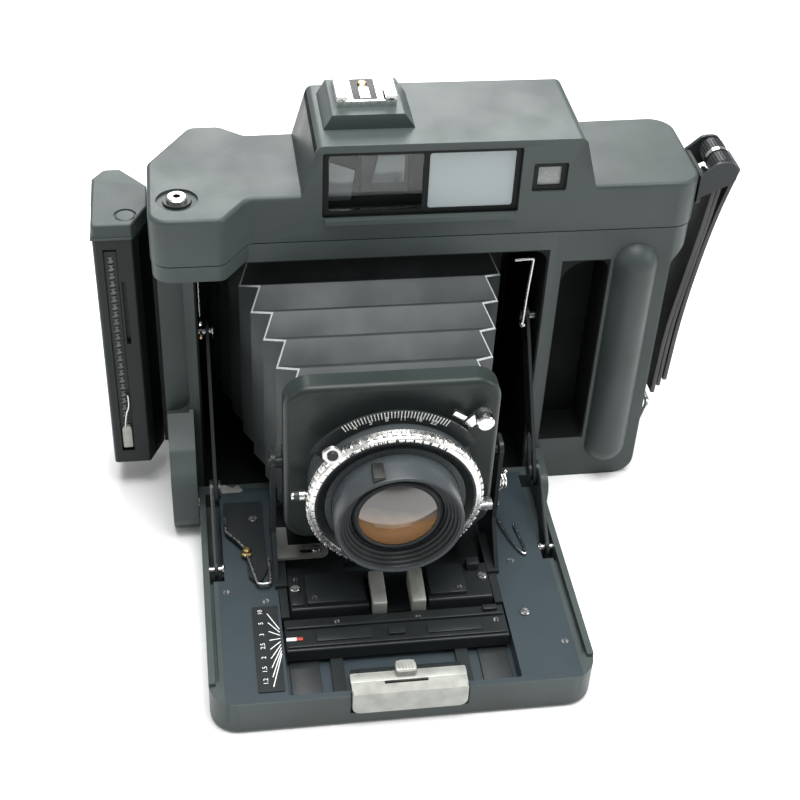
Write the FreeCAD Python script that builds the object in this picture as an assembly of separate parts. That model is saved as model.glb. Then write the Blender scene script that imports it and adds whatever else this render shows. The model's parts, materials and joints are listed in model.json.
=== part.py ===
import FreeCAD, Part
import math
import os

# Folding instant-film camera, open for use. Millimetres. It is drawn with x = 0 on the lens axis, y = 0 at
# the front of the top cover (+Y is towards the film) and z = 0 on the flat base, and is moved as it is saved
# so that the camera bush in the base is the origin. Rest pose: bed down, lens standard erect.

V = FreeCAD.Vector
X = V(1, 0, 0)
Y = V(0, 1, 0)
Z = V(0, 0, 1)

# ---- body shell and top cover ----
BODY_LEFT = -77.0
BODY_RIGHT = 110.5
BODY_DEPTH = 58.0
BODY_TOP = 119.5
FLANGE_OUT = 6.5
FLANGE_HEIGHT = 12.0
WALL = 3.0
SEAM = 0.4
COVER_LEFT = -78.3
COVER_RIGHT = 117.8
COVER_TOP = 138.0
COVER_DEPTH = 46.0
BULGE_FRONT = -12.8
BULGE_RIGHT = -53.5
HUMP_TOP = 157.3
HUMP_LEFT = -26.5
HUMP_RIGHT = 78.3
HUMP_SLOPE = 6.0
HUMP_DEPTH = 44.5

# ---- chamber that the bed closes ----
OPEN_HALF = 63.5
OPEN_LOW = 3.0
OPEN_HIGH = 111.6
CHAMBER_DEPTH = 54.0

# ---- grip side: finger recess and round rib ----
RECESS_LEFT = 69.5
GRIP_SPLIT = 66.4       # where the grip side of the body joins the middle
RECESS_RIGHT = 87.0
RECESS_LOW = 21.0
RECESS_HIGH = 106.4
RECESS_DEPTH = 17.0
RIB_X = 97.3
RIB_RADIUS = 8.8
RIB_SINK = 2.5
RIB_LOW = 16.8
RIB_HIGH = 104.5

# ---- bed, hinged at its rear ----
HINGE_Y = -11.0
HINGE_Z = 6.0
PIN_RADIUS = 1.5
RUNNING_FIT = 0.05
BED_HALF = 66.5
BED_FRONT = -117.0
BED_REAR = -5.3
BED_DECK = 14.6
BED_RIM = 16.2
RIM_WIDTH = 2.3
TRACK_HALF = 40.0
TRACK_FRONT = -114.3
TRACK_FLOOR = 8.0
PIER_LEFT = -76.5
PIER_RIGHT = 71.0
PIER_GAP = 0.4

# ---- side braces: slotted upper link and short lower link, knuckle between ----
BRACE_TOP_Y = 8.3
BRACE_TOP_Z = 76.8
BRACE_FOOT_Y = -53.0
BRACE_FOOT_Z = 13.5
KNUCKLE_Y = -27.7
KNUCKLE_Z = 29.6
KNUCKLE_TRAVEL = 11.5
BRACE_THICK = 1.2
BRACE_INNER = 59.6
STUD_RADIUS = 1.6

# ---- lens standard ----
LENS_Z = 60.0
BOARD_HALF = 37.0
BOARD_LOW = 31.5
BOARD_HIGH = 100.3
BOARD_FRONT = -58.0
BOARD_BACK = -50.0
TILT_Y = -49.0
TILT_Z = 61.0
SHUTTER_RADIUS = 29.0
SHUTTER_FRONT = -68.5
RING_RADIUS = 30.8
RING_THICK = 4.2
BARREL_RADIUS = 22.0
BARREL_FRONT = -84.0
GLASS_RADIUS = 15.5
APERTURE_HOLE = 17.0

# ---- bellows ----
BELLOWS_REAR_HALF = 53.0
BELLOWS_REAR_LOW = 22.0
BELLOWS_REAR_HIGH = 104.5
BELLOWS_FRONT_HALF = 33.0
BELLOWS_FRONT_LOW = 35.0
BELLOWS_FRONT_HIGH = 96.0
BELLOWS_FOLDS = 7
BELLOWS_SKIN = 0.8

# ---- carriage on the bed ----
UPRIGHT_X = 39.6
UPRIGHT_THICK = 1.5
CARRIAGE_FRONT = -96.0
CARRIAGE_REAR = -46.0

# ---- roller door on the film exit side ----
DOOR_LEFT = -98.7
DOOR_RIGHT = -79.2
DOOR_FRONT = 10.0
DOOR_BACK = 48.0
DOOR_LOW = 12.6
DOOR_HIGH = 123.0
ROLLER_RADIUS = 5.0

# ---- back door ----
BACK_THICK = 12.0
BACK_HIGH = 118.0

DOOR_PIN = (-81.2, 44.0)
BACK_PIN = (111.5, 60.0)
DOOR_PIN_RADIUS = 1.2
KNUCKLE_RADIUS = 2.5

# ---- release button ----
BUTTON_X = -68.2
BUTTON_Y = 1.0
BUTTON_RADIUS = 4.8

# ---- accessory shoe ----
SHOE_X = -2.2
SHOE_Y = 26.0
SHOE_INNER = 18.7
SHOE_OUTER = 20.6
SHOE_LENGTH = 19.0
SHOE_BUMP = 5.5

# ---- camera bush in the base: 1/4 inch thread, modelled at its minor diameter ----
BUSH_X = 0.0
BUSH_Y = 26.0
BUSH_BORE = 2.55
BUSH_OUTER = 6.0
BUSH_HEIGHT = 6.0


# ---------------------------------------------------------------- helpers
def block(x0, x1, y0, y1, z0, z1):
    """A box between two corners."""
    return Part.makeBox(x1 - x0, y1 - y0, z1 - z0, V(x0, y0, z0))


def rod(radius, start, axis, length):
    """A solid cylinder from start along axis."""
    return Part.makeCylinder(radius, length, V(*start), axis)


def tube(outer, inner, start, axis, length):
    """A hollow cylinder."""
    return rod(outer, start, axis, length).cut(rod(inner, start, axis, length))


def to_space(plane, u, v, depth):
    """A point of a drawing plane, depth along the plane's normal."""
    return {"xy": V(u, v, depth), "xz": V(u, depth, v), "yz": V(depth, u, v)}[plane]


def outline(corners, plane, depth):
    """A closed wire through corners (u, v, radius), each corner rounded by its own radius."""
    count = len(corners)
    stretches = []
    for i, (u, v, radius) in enumerate(corners):
        here = V(u, v, 0)
        before = V(*corners[i - 1][:2], 0)
        after = V(*corners[(i + 1) % count][:2], 0)
        back = (before - here).normalize()
        ahead = (after - here).normalize()
        if radius <= 0:
            stretches.append([here])
            continue
        half = back.getAngle(ahead) / 2
        reach = radius / math.tan(half)
        middle = (back + ahead).normalize()
        centre = here + middle * (radius / math.sin(half))
        stretches.append([here + back * reach, centre - middle * radius, here + ahead * reach])
    edges = []
    for i, stretch in enumerate(stretches):
        points = [to_space(plane, p.x, p.y, depth) for p in stretch]
        if len(points) == 3:
            edges.append(Part.Arc(*points).toShape())
        follow = stretches[(i + 1) % count][0]
        follow = to_space(plane, follow.x, follow.y, depth)
        if points[-1].distanceToPoint(follow) > 1e-6:
            edges.append(Part.LineSegment(points[-1], follow).toShape())
    return Part.Wire(edges)


def plate(corners, plane, low, high):
    """The outline's area between two depths along the plane's normal."""
    face = Part.Face(outline(corners, plane, low))
    normal = {"xy": Z, "xz": Y, "yz": X}[plane]
    return face.extrude(normal * (high - low))


def rounded_rectangle(u0, u1, v0, v1, radius):
    """Four rounded corners."""
    return [(u0, v0, radius), (u1, v0, radius), (u1, v1, radius), (u0, v1, radius)]


def strip(start, end, width, low, high):
    """A round-ended bar in the YZ plane between two (y, z) points, from x = low to x = high."""
    ends = [rod(width / 2, (low, *p), X, high - low) for p in (start, end)]
    run = V(0, end[0] - start[0], end[1] - start[1])
    side = V(0, -run.z, run.y).normalize() * (width / 2)
    a = V(low, *start)
    b = V(low, *end)
    wire = Part.makePolygon([a + side, b + side, b - side, a - side, a + side])
    bar = Part.Face(wire).extrude(X * (high - low))
    return bar.fuse(ends).removeSplitter()


def wire_form(points, radius, bend):
    """Round wire along straight runs joined by tangent arcs."""
    edges = []
    last = V(*points[0])
    for i in range(1, len(points) - 1):
        here = V(*points[i])
        back = (V(*points[i - 1]) - here).normalize()
        ahead = (V(*points[i + 1]) - here).normalize()
        half = back.getAngle(ahead) / 2
        reach = bend / math.tan(half)
        middle = (back + ahead).normalize()
        top = here + middle * (bend / math.sin(half) - bend)
        start = here + back * reach
        stop = here + ahead * reach
        edges.append(Part.LineSegment(last, start).toShape())
        edges.append(Part.Arc(start, top, stop).toShape())
        last = stop
    edges.append(Part.LineSegment(last, V(*points[-1])).toShape())
    path = Part.Wire(edges)
    first = edges[0]
    tangent = first.tangentAt(first.FirstParameter)
    section = Part.Wire(Part.makeCircle(radius, V(*points[0]), tangent))
    return path.makePipeShell([section], True, True)


def joined(*shapes):
    """One solid from touching shapes."""
    result = shapes[0]
    for shape in shapes[1:]:
        result = result.fuse(shape)
    return result.removeSplitter()


def group(shapes):
    """Separate solids in one node."""
    return Part.makeCompound(list(shapes))


def soften(shape, radius, wanted):
    """Fillets the edges that wanted(edge) picks."""
    edges = [e for e in shape.Edges if wanted(e)]
    return shape.makeFillet(radius, edges)


def level(edge, z):
    """True for an edge that lies at height z."""
    box = edge.BoundBox
    return abs(box.ZMin - z) < 1e-4 and abs(box.ZMax - z) < 1e-4


def at_depth(edge, y):
    """True for an edge that lies at depth y."""
    box = edge.BoundBox
    return abs(box.YMin - y) < 1e-4 and abs(box.YMax - y) < 1e-4


def screw(radius, start, axis, head, slot):
    """A slotted cheese-head screw head with a domed edge; start is on the surface."""
    top = rod(radius, start, axis, head)
    top = top.makeChamfer(head * 0.3, [e for e in top.Edges if len(e.Vertexes) == 1][:1])
    across = X if abs(axis.x) < 0.5 else Y
    along = axis.cross(across)
    centre = V(*start) + axis * head
    corner = centre - across * radius * 1.2 - along * slot / 2 - axis * head * 0.4
    cutter = Part.Face(Part.makePolygon([corner, corner + across * radius * 2.4,
                                         corner + across * radius * 2.4 + along * slot,
                                         corner + along * slot, corner]))
    return top.cut(cutter.extrude(axis * head))


# ---------------------------------------------------------------- body
def body_profile():
    """Front view of the body shell, with the wider flange under the cover on the grip side."""
    shoulder = BODY_TOP - FLANGE_HEIGHT
    return [
        (BODY_LEFT, 0, 4),
        (BODY_RIGHT, 0, 8),
        (BODY_RIGHT, shoulder - 3, 4),
        (BODY_RIGHT + FLANGE_OUT, shoulder + 4, 3),
        (BODY_RIGHT + FLANGE_OUT, BODY_TOP, 0),
        (BODY_LEFT - 1, BODY_TOP, 0),
        (BODY_LEFT - 1, shoulder + 6, 1),
        (BODY_LEFT, shoulder + 5, 1),
    ]


def cover_outline(inset):
    """Top view of the top cover, moved inwards by inset."""
    step = COVER_DEPTH + 5 - inset
    return [
        (COVER_LEFT + inset, 26, 6),
        (COVER_LEFT + inset, BULGE_FRONT + inset, 7 - inset),
        (BULGE_RIGHT - inset * 0.6, BULGE_FRONT + inset, 4),
        (BULGE_RIGHT + 9 - inset * 0.6, inset, 4),
        (COVER_RIGHT - inset, inset, 9 - inset),
        (COVER_RIGHT - inset, COVER_DEPTH + 2 - inset, 9 - inset),
        (-43 - inset, COVER_DEPTH - 2 - inset, 4),
        (-52 - inset, step, 5),
        (-63 + inset, step, 5),
    ]


def grip_hollow():
    """The space behind the grip that the back door covers."""
    low = RECESS_DEPTH + WALL + 1
    return plate(rounded_rectangle(OPEN_HALF + 7, BODY_RIGHT - WALL, 6, OPEN_HIGH - 6, 4),
                 "xz", low, BODY_DEPTH + 1)


def grip_rib():
    """The half-round finger rib with its two domed ends."""
    low = (RIB_X, RIB_SINK, RIB_LOW)
    high = V(RIB_X, RIB_SINK, RIB_HIGH)
    domes = [Part.makeSphere(RIB_RADIUS, V(*low)), Part.makeSphere(RIB_RADIUS, high)]
    return rod(RIB_RADIUS, low, Z, RIB_HIGH - RIB_LOW).fuse(domes)


def hinge_piers():
    """The two lugs that carry the ends of the bed's hinge pin; the left one rises into the strut."""
    tall = [(0, 0, 0), (-16, 0, 5), (-22, 8, 5), (-22, 30, 6), (-14, 38, 6), (0, 46, 0)]
    low = [(0, 0, 0), (-18, 0, 4), (-18, 13, 6), (0, 16, 0)]
    left = plate(tall, "yz", PIER_LEFT, -BED_HALF - PIER_GAP)
    return [left, plate(low, "yz", BED_HALF + PIER_GAP, PIER_RIGHT)]


def lugs(pin, web, spans):
    """Hinge lugs around a vertical pin, each with a web (x0, x1, y0, y1) to the body."""
    shapes = []
    for low, high in spans:
        shapes.append(rod(KNUCKLE_RADIUS, (pin[0], pin[1], low), Z, high - low))
        shapes.append(block(*web, low, high))
    return shapes


DOOR_LUGS = [(22, 28), (92, 98)]
BACK_LUGS = [(22, 30), (86, 94)]


def ring_boss():
    """The lug on the grip side that holds the strap ring."""
    boss = plate([(BODY_RIGHT - 2, 10, 0), (BODY_RIGHT + 3.5, 13, 2), (BODY_RIGHT + 3.5, 21, 2),
                  (BODY_RIGHT - 2, 25, 0)], "xz", STRAP_Y0 + 4, STRAP_Y1 - 4)
    return boss


def body_shell():
    solid = plate(body_profile(), "xz", 0, BODY_DEPTH)
    corner = plate([(COVER_LEFT - 1, -1, 0), (BODY_RIGHT + FLANGE_OUT, 0, 8),
                    (BODY_RIGHT + FLANGE_OUT, BODY_DEPTH, 9), (COVER_LEFT - 1, BODY_DEPTH, 0)],
                   "xy", -1, BODY_TOP + 1)
    solid = solid.common(corner)
    bulge = plate([(BODY_LEFT - 1, 4, 0), (BODY_LEFT - 1, BULGE_FRONT, 7), (BULGE_RIGHT, BULGE_FRONT, 4),
                   (BULGE_RIGHT + 9, 0, 0), (BULGE_RIGHT + 9, 4, 0)], "xy", BODY_TOP - 6, BODY_TOP)
    solid = solid.fuse([bulge, grip_rib(), ring_boss()])
    solid = solid.fuse(hinge_piers())
    chamber = plate(rounded_rectangle(-OPEN_HALF, OPEN_HALF, OPEN_LOW, OPEN_HIGH, 5),
                    "xz", -30, CHAMBER_DEPTH)
    recess = plate([(RECESS_LEFT, RECESS_LOW, 3), (RECESS_RIGHT, RECESS_LOW, 3),
                    (RECESS_RIGHT, RECESS_HIGH, 4), (RECESS_LEFT, RECESS_HIGH, 10)],
                   "xz", -1, RECESS_DEPTH)
    scoop = plate([(BODY_LEFT - 5, 42, 0), (-68, 42, 6), (-68, 113, 7), (BODY_LEFT - 5, 113, 0)],
                  "xz", -1, 5)
    frame_seat = plate(rounded_rectangle(-OPEN_HALF, OPEN_HALF, OPEN_LOW, OPEN_HIGH, 3),
                       "xz", CHAMBER_DEPTH, BODY_DEPTH + 1)
    solid = solid.cut([chamber, recess, scoop, frame_seat, grip_hollow()])
    solid = solid.cut(rod(PIN_RADIUS, (PIER_LEFT + 2, HINGE_Y, HINGE_Z), X, PIER_RIGHT - PIER_LEFT))
    solid = solid.fuse(lugs(DOOR_PIN, (DOOR_PIN[0], BODY_LEFT + 1, 42.2, 45.8), DOOR_LUGS))
    solid = solid.fuse(lugs(BACK_PIN, (BODY_RIGHT - 2, BACK_PIN[0] + 2.5, 52, 60), BACK_LUGS))
    for pin, spans in ((DOOR_PIN, DOOR_LUGS), (BACK_PIN, BACK_LUGS)):
        solid = solid.cut([rod(DOOR_PIN_RADIUS, (*pin, low - 1), Z, high - low + 2) for low, high in spans])
    solid = solid.cut(rod(BUSH_OUTER, (BUSH_X, BUSH_Y, -1), Z, WALL + 2))
    solid = solid.cut(rod(1.15, (BODY_RIGHT + 1.6, STRAP_Y0, 17), Y, 30))
    solid = solid.cut(rod(STUD_RADIUS, (-OPEN_HALF - 3, BRACE_TOP_Y, BRACE_TOP_Z), X, OPEN_HALF * 2 + 6))
    return solid.removeSplitter()


def hump(inset, low):
    """The finder hump, drawn inwards by inset, from low up."""
    return plate([
        (HUMP_LEFT + inset, low, 0),
        (HUMP_RIGHT - inset, low, 0),
        (HUMP_RIGHT - HUMP_SLOPE - inset, HUMP_TOP - inset, 3),
        (HUMP_LEFT + HUMP_SLOPE + inset, HUMP_TOP - inset, 3),
    ], "xz", inset, HUMP_DEPTH - inset)


WINDOW = (-18.8, 50.5, 128.5, 154.5)
RANGE_WINDOW = (54.6, 67.0, 136.5, 148.0)


def top_cover():
    shell = plate(cover_outline(0), "xy", BODY_TOP + SEAM, COVER_TOP)
    shell = soften(shell, 1.4, lambda e: level(e, COVER_TOP))
    shell = shell.fuse(soften(hump(0, COVER_TOP - 2), 1.2, lambda e: at_depth(e, HUMP_DEPTH)))
    bump = plate([(SHOE_X - 16, HUMP_TOP - 1, 0), (SHOE_X + 17, HUMP_TOP - 1, 0),
                  (SHOE_X + 12.5, HUMP_TOP + SHOE_BUMP, 1), (SHOE_X - 12.5, HUMP_TOP + SHOE_BUMP, 1)],
                 "xz", SHOE_Y - 15, SHOE_Y + 11)
    shell = shell.fuse(bump)
    inside = plate(cover_outline(WALL), "xy", BODY_TOP - 1, COVER_TOP - WALL)
    inside = inside.fuse(hump(WALL, COVER_TOP - WALL - 1))
    shell = shell.cut(inside)
    shell = shell.cut(plate(rounded_rectangle(*WINDOW, 1), "xz", -1, WALL + 1))
    shell = shell.cut(plate(rounded_rectangle(*RANGE_WINDOW, 1), "xz", -1, WALL + 1))
    shell = shell.cut(plate(rounded_rectangle(-4, 14, 141, 152, 2), "xz", HUMP_DEPTH - 6, HUMP_DEPTH + 1))
    sill = block(WINDOW[0] + 1, WINDOW[1] - 1, -1.5, 0.5, WINDOW[2] - 1.8, WINDOW[2])
    well = tube(8.4, 7.2, (BUTTON_X, BUTTON_Y, COVER_TOP - 7), Z, 6)
    shell = shell.cut(rod(7.2, (BUTTON_X, BUTTON_Y, COVER_TOP - 8), Z, 9))
    return joined(shell, sill, well)


def release_collar():
    ring = tube(7.15, 5.0, (BUTTON_X, BUTTON_Y, COVER_TOP - 6), Z, 5.2)
    floor = tube(5.2, 3.0, (BUTTON_X, BUTTON_Y, COVER_TOP - 7), Z, 1.0)
    return joined(ring, floor)


def release_button():
    skirt = rod(BUTTON_RADIUS, (BUTTON_X, BUTTON_Y, COVER_TOP - 2.6), Z, 2.6)
    top = rod(3.5, (BUTTON_X, BUTTON_Y, COVER_TOP), Z, 1.5)
    top = top.makeChamfer(0.5, [e for e in top.Edges if level(e, COVER_TOP + 1.5)])
    stem = rod(2.2, (BUTTON_X, BUTTON_Y, COVER_TOP - 12), Z, 10)
    button = joined(skirt, top, stem)
    return button.cut(rod(1.3, (BUTTON_X, BUTTON_Y, COVER_TOP - 5), Z, 8))


def finder_parts():
    """Windows, lens and mirror of the coupled finder."""
    x0, x1, z0, z1 = WINDOW
    split = 17.2
    inner = (x0 + 0.3, x1 - 0.3, z0 + 0.3, z1 - 0.3)
    frame = plate(rounded_rectangle(*inner, 1), "xz", 1.6, WALL + 1)
    left = plate(rounded_rectangle(x0 + 2.2, split - 1, z0 + 2, z1 - 2, 1), "xz", 0, 6)
    right = plate(rounded_rectangle(split + 1, x1 - 2, z0 + 2, z1 - 2, 1), "xz", 0, 6)
    frame = frame.cut([left, right])
    save("finder_window", plate(rounded_rectangle(x0 + 2.3, split - 1.1, z0 + 2.1, z1 - 2.1, 1), "xz", 2,
                                3.4))
    save("frosted_window", plate(rounded_rectangle(split + 1.1, x1 - 2.1, z0 + 2.1, z1 - 2.1, 1), "xz", 2,
                                 3.4))
    x0, x1, z0, z1 = RANGE_WINDOW
    bezel = plate(rounded_rectangle(x0 + 0.2, x1 - 0.2, z0 + 0.2, z1 - 0.2, 0.8), "xz", 1.0, WALL + 1)
    hole = plate(rounded_rectangle(x0 + 2, x1 - 2, z0 + 2, z1 - 2, 0.5), "xz", 0, 6)
    save("finder_frames", group([frame, bezel.cut(hole)]))
    save("rangefinder_window", plate(rounded_rectangle(x0 + 2.1, x1 - 2.1, z0 + 2.1, z1 - 2.1, 0.4),
                                     "xz", 2, 3.2))
    front = Part.makeSphere(30, V(4, 44, 144)).common(block(-6, 14, 15, 17.5, 136, 152))
    save("finder_lens", front)
    glass = plate(rounded_rectangle(-3.8, 13.8, 141.2, 151.8, 1.8), "xz", HUMP_DEPTH - 3.5, HUMP_DEPTH - 1)
    save("eyepiece", glass)


def accessory_shoe():
    z0 = HUMP_TOP + SHOE_BUMP
    half = SHOE_OUTER / 2
    y0 = SHOE_Y - SHOE_LENGTH / 2
    y1 = SHOE_Y + SHOE_LENGTH / 2
    base = block(SHOE_X - half, SHOE_X + half, y0, y1, z0, z0 + 0.8)
    inner = SHOE_INNER / 2
    parts = [base]
    for side in (-1, 1):
        a, b = sorted((SHOE_X + side * inner, SHOE_X + side * half))
        parts.append(block(a, b, y0, y1, z0, z0 + 4.0))
        c, d = sorted((SHOE_X + side * (inner - 2.8), SHOE_X + side * half))
        parts.append(block(c, d, y0, y1, z0 + 3.0, z0 + 4.0))
    parts.append(block(SHOE_X - half, SHOE_X + half, y0, y0 + 1, z0, z0 + 2.2))
    save("hot_shoe", joined(*parts))


def base_parts():
    """Hinge pin, camera bush and brace studs that belong to the body."""
    pins = [rod(PIN_RADIUS, (PIER_LEFT + 2, HINGE_Y, HINGE_Z), X, PIER_RIGHT - PIER_LEFT - 2.2)]
    for pin, spans in ((DOOR_PIN, DOOR_LUGS), (BACK_PIN, BACK_LUGS)):
        low = spans[0][0]
        pins.append(rod(DOOR_PIN_RADIUS, (*pin, low), Z, spans[1][1] - low))
    save("hinge_pins", group(pins))
    bush = tube(BUSH_OUTER, BUSH_BORE, (BUSH_X, BUSH_Y, 0), Z, BUSH_HEIGHT)
    save("camera_bush", bush)
    studs = []
    for side in (-1, 1):
        inner = side * (BRACE_INNER - 0.8)
        outer = side * (OPEN_HALF + 2.8)
        a, b = sorted((inner, outer))
        stud = rod(STUD_RADIUS - 0.3, (a, BRACE_TOP_Y, BRACE_TOP_Z), X, b - a)
        base = sorted((side * (BRACE_INNER + BRACE_THICK + 0.25), outer))
        boss = rod(STUD_RADIUS, (base[0], BRACE_TOP_Y, BRACE_TOP_Z), X, base[1] - base[0])
        studs.append(stud.fuse(boss).removeSplitter())
    save("brace_studs", group(studs))


def film_frame():
    """The frame behind the chamber that the bellows and the film rest against."""
    sheet = plate(rounded_rectangle(-OPEN_HALF + 0.2, OPEN_HALF - 0.2, OPEN_LOW + 0.2, OPEN_HIGH - 0.2, 3),
                  "xz", CHAMBER_DEPTH, BODY_DEPTH - 0.2)
    gate = plate(rounded_rectangle(-47.5, 47.5, 22, 95, 1), "xz", CHAMBER_DEPTH - 1, BODY_DEPTH + 1)
    save("film_frame", sheet.cut(gate))


# ---------------------------------------------------------------- strap side
STRAP_Y0 = 6.0
STRAP_Y1 = 25.0


def strap_parts():
    x0 = COVER_RIGHT
    bracket = plate([(STRAP_Y0 - 1, 126, 1), (STRAP_Y1 + 1, 126, 1), (STRAP_Y1 + 1, 137.5, 3),
                     (STRAP_Y0 - 1, 137.5, 3)], "yz", x0, x0 + 1.4)
    ears = []
    for y in (STRAP_Y0 - 1, STRAP_Y1 - 0.4):
        ear = plate([(x0, 128, 0.5), (x0 + 13.5, 134.5, 3), (x0 + 13.5, 142.5, 4), (x0 + 6, 142.5, 3),
                     (x0, 137, 0.5)], "xz", y, y + 1.4)
        ears.append(ear)
    save("strap_bracket", joined(bracket, *ears))
    spin = V(x0 + 9.2, STRAP_Y0 + 0.6, 138.2)
    pin = rod(1.4, (spin.x, STRAP_Y0 + 0.45, spin.z), Y, STRAP_Y1 - STRAP_Y0 - 1.0)
    sleeve = rod(4.6, (spin.x, STRAP_Y0 + 1.0, spin.z), Y, STRAP_Y1 - STRAP_Y0 - 2.0)
    save("strap_roller", pin.fuse(sleeve).removeSplitter())
    outer_run = plate([(x0 + 12.2, 133, 0), (x0 + 14.0, 133, 0), (x0 + 4.6, 40, 0), (x0 + 2.8, 40, 0)],
                      "xz", STRAP_Y0 + 2, STRAP_Y1 - 2)
    inner_run = plate([(x0 + 8.8, 133, 0), (x0 + 10.4, 133, 0), (x0 + 0.4, 34, 0), (x0 - 0.8, 34, 0)],
                      "xz", STRAP_Y0 + 2, STRAP_Y1 - 2)
    save("hand_strap", group([outer_run, inner_run]))
    y0 = STRAP_Y0 + 1.5
    y1 = STRAP_Y1 - 1.5
    ring = wire_form([(BODY_RIGHT + 1.6, (y0 + y1) / 2 - 3.0, 17), (BODY_RIGHT + 1.6, y0, 17),
                      (BODY_RIGHT + 5.0, y0, 30.5), (BODY_RIGHT + 5.0, y1, 30.5),
                      (BODY_RIGHT + 1.6, y1, 17), (BODY_RIGHT + 1.6, (y0 + y1) / 2 + 3.0, 17)], 1.1, 2.2)
    save("strap_ring", ring)


# ---------------------------------------------------------------- bed
def bed_plan(inset):
    """Top view of the bed."""
    return [(-BED_HALF + inset, BED_REAR, 0), (BED_HALF - inset, BED_REAR, 0),
            (BED_HALF - inset, BED_FRONT + inset, 10 - inset), (-BED_HALF + inset, BED_FRONT + inset,
                                                                10 - inset)]


def bed_tray():
    tray = plate(bed_plan(0), "xy", 0, BED_RIM)
    tray = soften(tray, 1.5, lambda e: level(e, 0) and e.BoundBox.YMax < BED_REAR - 0.1)
    inner = plate([(-BED_HALF + RIM_WIDTH, 1, 0), (BED_HALF - RIM_WIDTH, 1, 0),
                   (BED_HALF - RIM_WIDTH, BED_FRONT - 2, 0), (-BED_HALF + RIM_WIDTH, BED_FRONT - 2, 0)],
                  "xy", BED_DECK, BED_RIM + 1)
    nose = block(-BED_HALF - 1, BED_HALF + 1, BED_FRONT - 1, BED_FRONT + 9, BED_DECK, BED_RIM + 1)
    rear = plate([(HINGE_Y, HINGE_Z + 5.0, 0), (3, HINGE_Z + 5.0, 0), (3, 30, 0), (HINGE_Y - 4, 30, 0),
                  (HINGE_Y - 4, BED_RIM, 0)], "yz", -BED_HALF - 1, BED_HALF + 1)
    tray = tray.cut([inner, nose, rear])
    heel = block(-BED_HALF - 1, BED_HALF + 1, HINGE_Y, 2, -1, 20)
    heel = heel.cut(rod(HINGE_Y * -1 + BED_REAR, (-BED_HALF - 1, HINGE_Y, HINGE_Z), X, BED_HALF * 2 + 2))
    keep = block(-BED_HALF - 1, BED_HALF + 1, HINGE_Y, 2, HINGE_Z, 20)
    tray = tray.cut(heel.cut(keep))
    track = plate(rounded_rectangle(-TRACK_HALF, TRACK_HALF, TRACK_FRONT, HINGE_Y - 3, 0.8),
                  "xy", TRACK_FLOOR, BED_RIM + 1)
    tray = tray.cut(track)
    for side in (-1, 1):
        a, b = sorted((side * (BRACE_INNER - 0.7), side * (BED_HALF - RIM_WIDTH)))
        tray = tray.cut(block(a, b, BRACE_FOOT_Y - 7, HINGE_Y - 3, TRACK_FLOOR, BED_RIM + 1))
        c, d = sorted((side * (BED_HALF - RIM_WIDTH - 1.3), side * (BED_HALF - RIM_WIDTH)))
        tray = tray.cut(block(c, d, BED_FRONT + 11, BRACE_FOOT_Y - 7, BED_DECK - 1.5, BED_RIM + 1))
        tray = tray.cut(rod(STUD_RADIUS - 0.3, (side * BED_HALF - 0.8 - side * 1.6, BRACE_FOOT_Y,
                                                BRACE_FOOT_Z),
                            X, 1.6))
    bore = rod(PIN_RADIUS + RUNNING_FIT, (-BED_HALF - 1, HINGE_Y, HINGE_Z), X, BED_HALF * 2 + 2)
    notch = block(-19.4, 21.4, BED_FRONT - 1, BED_FRONT + 1.6, 5.8, BED_RIM + 1)
    return tray.cut([bore, notch]).removeSplitter()


def bed_parts():
    save("bed_tray", bed_tray())
    rails = [block(x - 2.2, x + 2.2, TRACK_FRONT + 1, -17, TRACK_FLOOR, TRACK_FLOOR + 2) for x in (-22, 22)]
    ties = [block(-24.2, 24.2, y, y + 3, TRACK_FLOOR, TRACK_FLOOR + 1.2) for y in (TRACK_FRONT + 1, -40)]
    save("focus_rails", joined(*rails, *ties))
    save("distance_scale", plate(rounded_rectangle(-50, -41, -112.5, -74, 0.6), "xy", BED_DECK,
                                 BED_DECK + 0.5))
    catch = plate([(-57.4, -21, 1), (-43.2, -21, 1), (-43.2, -57, 2), (-46.5, -64.5, 2), (-50, -60, 2),
                   (-50.5, -47, 2), (-57.4, -38, 1)], "xy", BED_DECK, BED_DECK + 1.6)
    save("catch_plate", catch)
    z = BED_DECK + 2.4
    spring = wire_form([(-57.2, -30, z), (-57.2, -37, z), (-51, -46, z), (-47.0, -65, z), (-42.4, -65, z),
                        (-42.4, -52, z)], 0.6, 1.8)
    save("catch_spring", spring)
    spots = [(46.7, -85.7, BED_DECK), (46.6, -29.2, BED_DECK), (-46.9, -30.9, BED_DECK + 1.6)]
    heads = [screw(1.7, spot, Z, 1.0, 0.5) for spot in spots]
    save("bed_screws", group(heads))
    studs = []
    for side in (-1, 1):
        a, b = sorted((side * (BRACE_INNER - 0.5), side * (BED_HALF - 0.8)))
        studs.append(rod(STUD_RADIUS - 0.3, (a, BRACE_FOOT_Y, BRACE_FOOT_Z), X, b - a))
    save("bed_studs", group(studs))
    top = plate([(-18.8, -108.5, 0.5), (20.8, -108.5, 0.5), (20.8, BED_FRONT + 1, 0),
                 (-18.8, BED_FRONT + 1, 0)],
                "xy", BED_DECK + 0.15, BED_DECK + 1.5)
    lip = plate([(-18.8, 6.4, 3), (20.8, 6.4, 3), (20.8, BED_DECK + 1.5, 0.5),
                 (-18.8, BED_DECK + 1.5, 0.5)],
                "xz", BED_FRONT - 0.8, BED_FRONT + 1.1)
    slot = block(-7.5, 7.5, -113.8, -112.2, BED_DECK, BED_DECK + 3)
    tab = plate([(-3.0, -111.4, 0.6), (3.4, -111.4, 0.6), (3.4, -106.4, 0.6), (-3.0, -106.4, 0.6)],
                "xy", BED_DECK + 0.4, BED_DECK + 4.0)
    save("bed_latch", joined(top, lip, tab).cut(slot))


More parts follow.
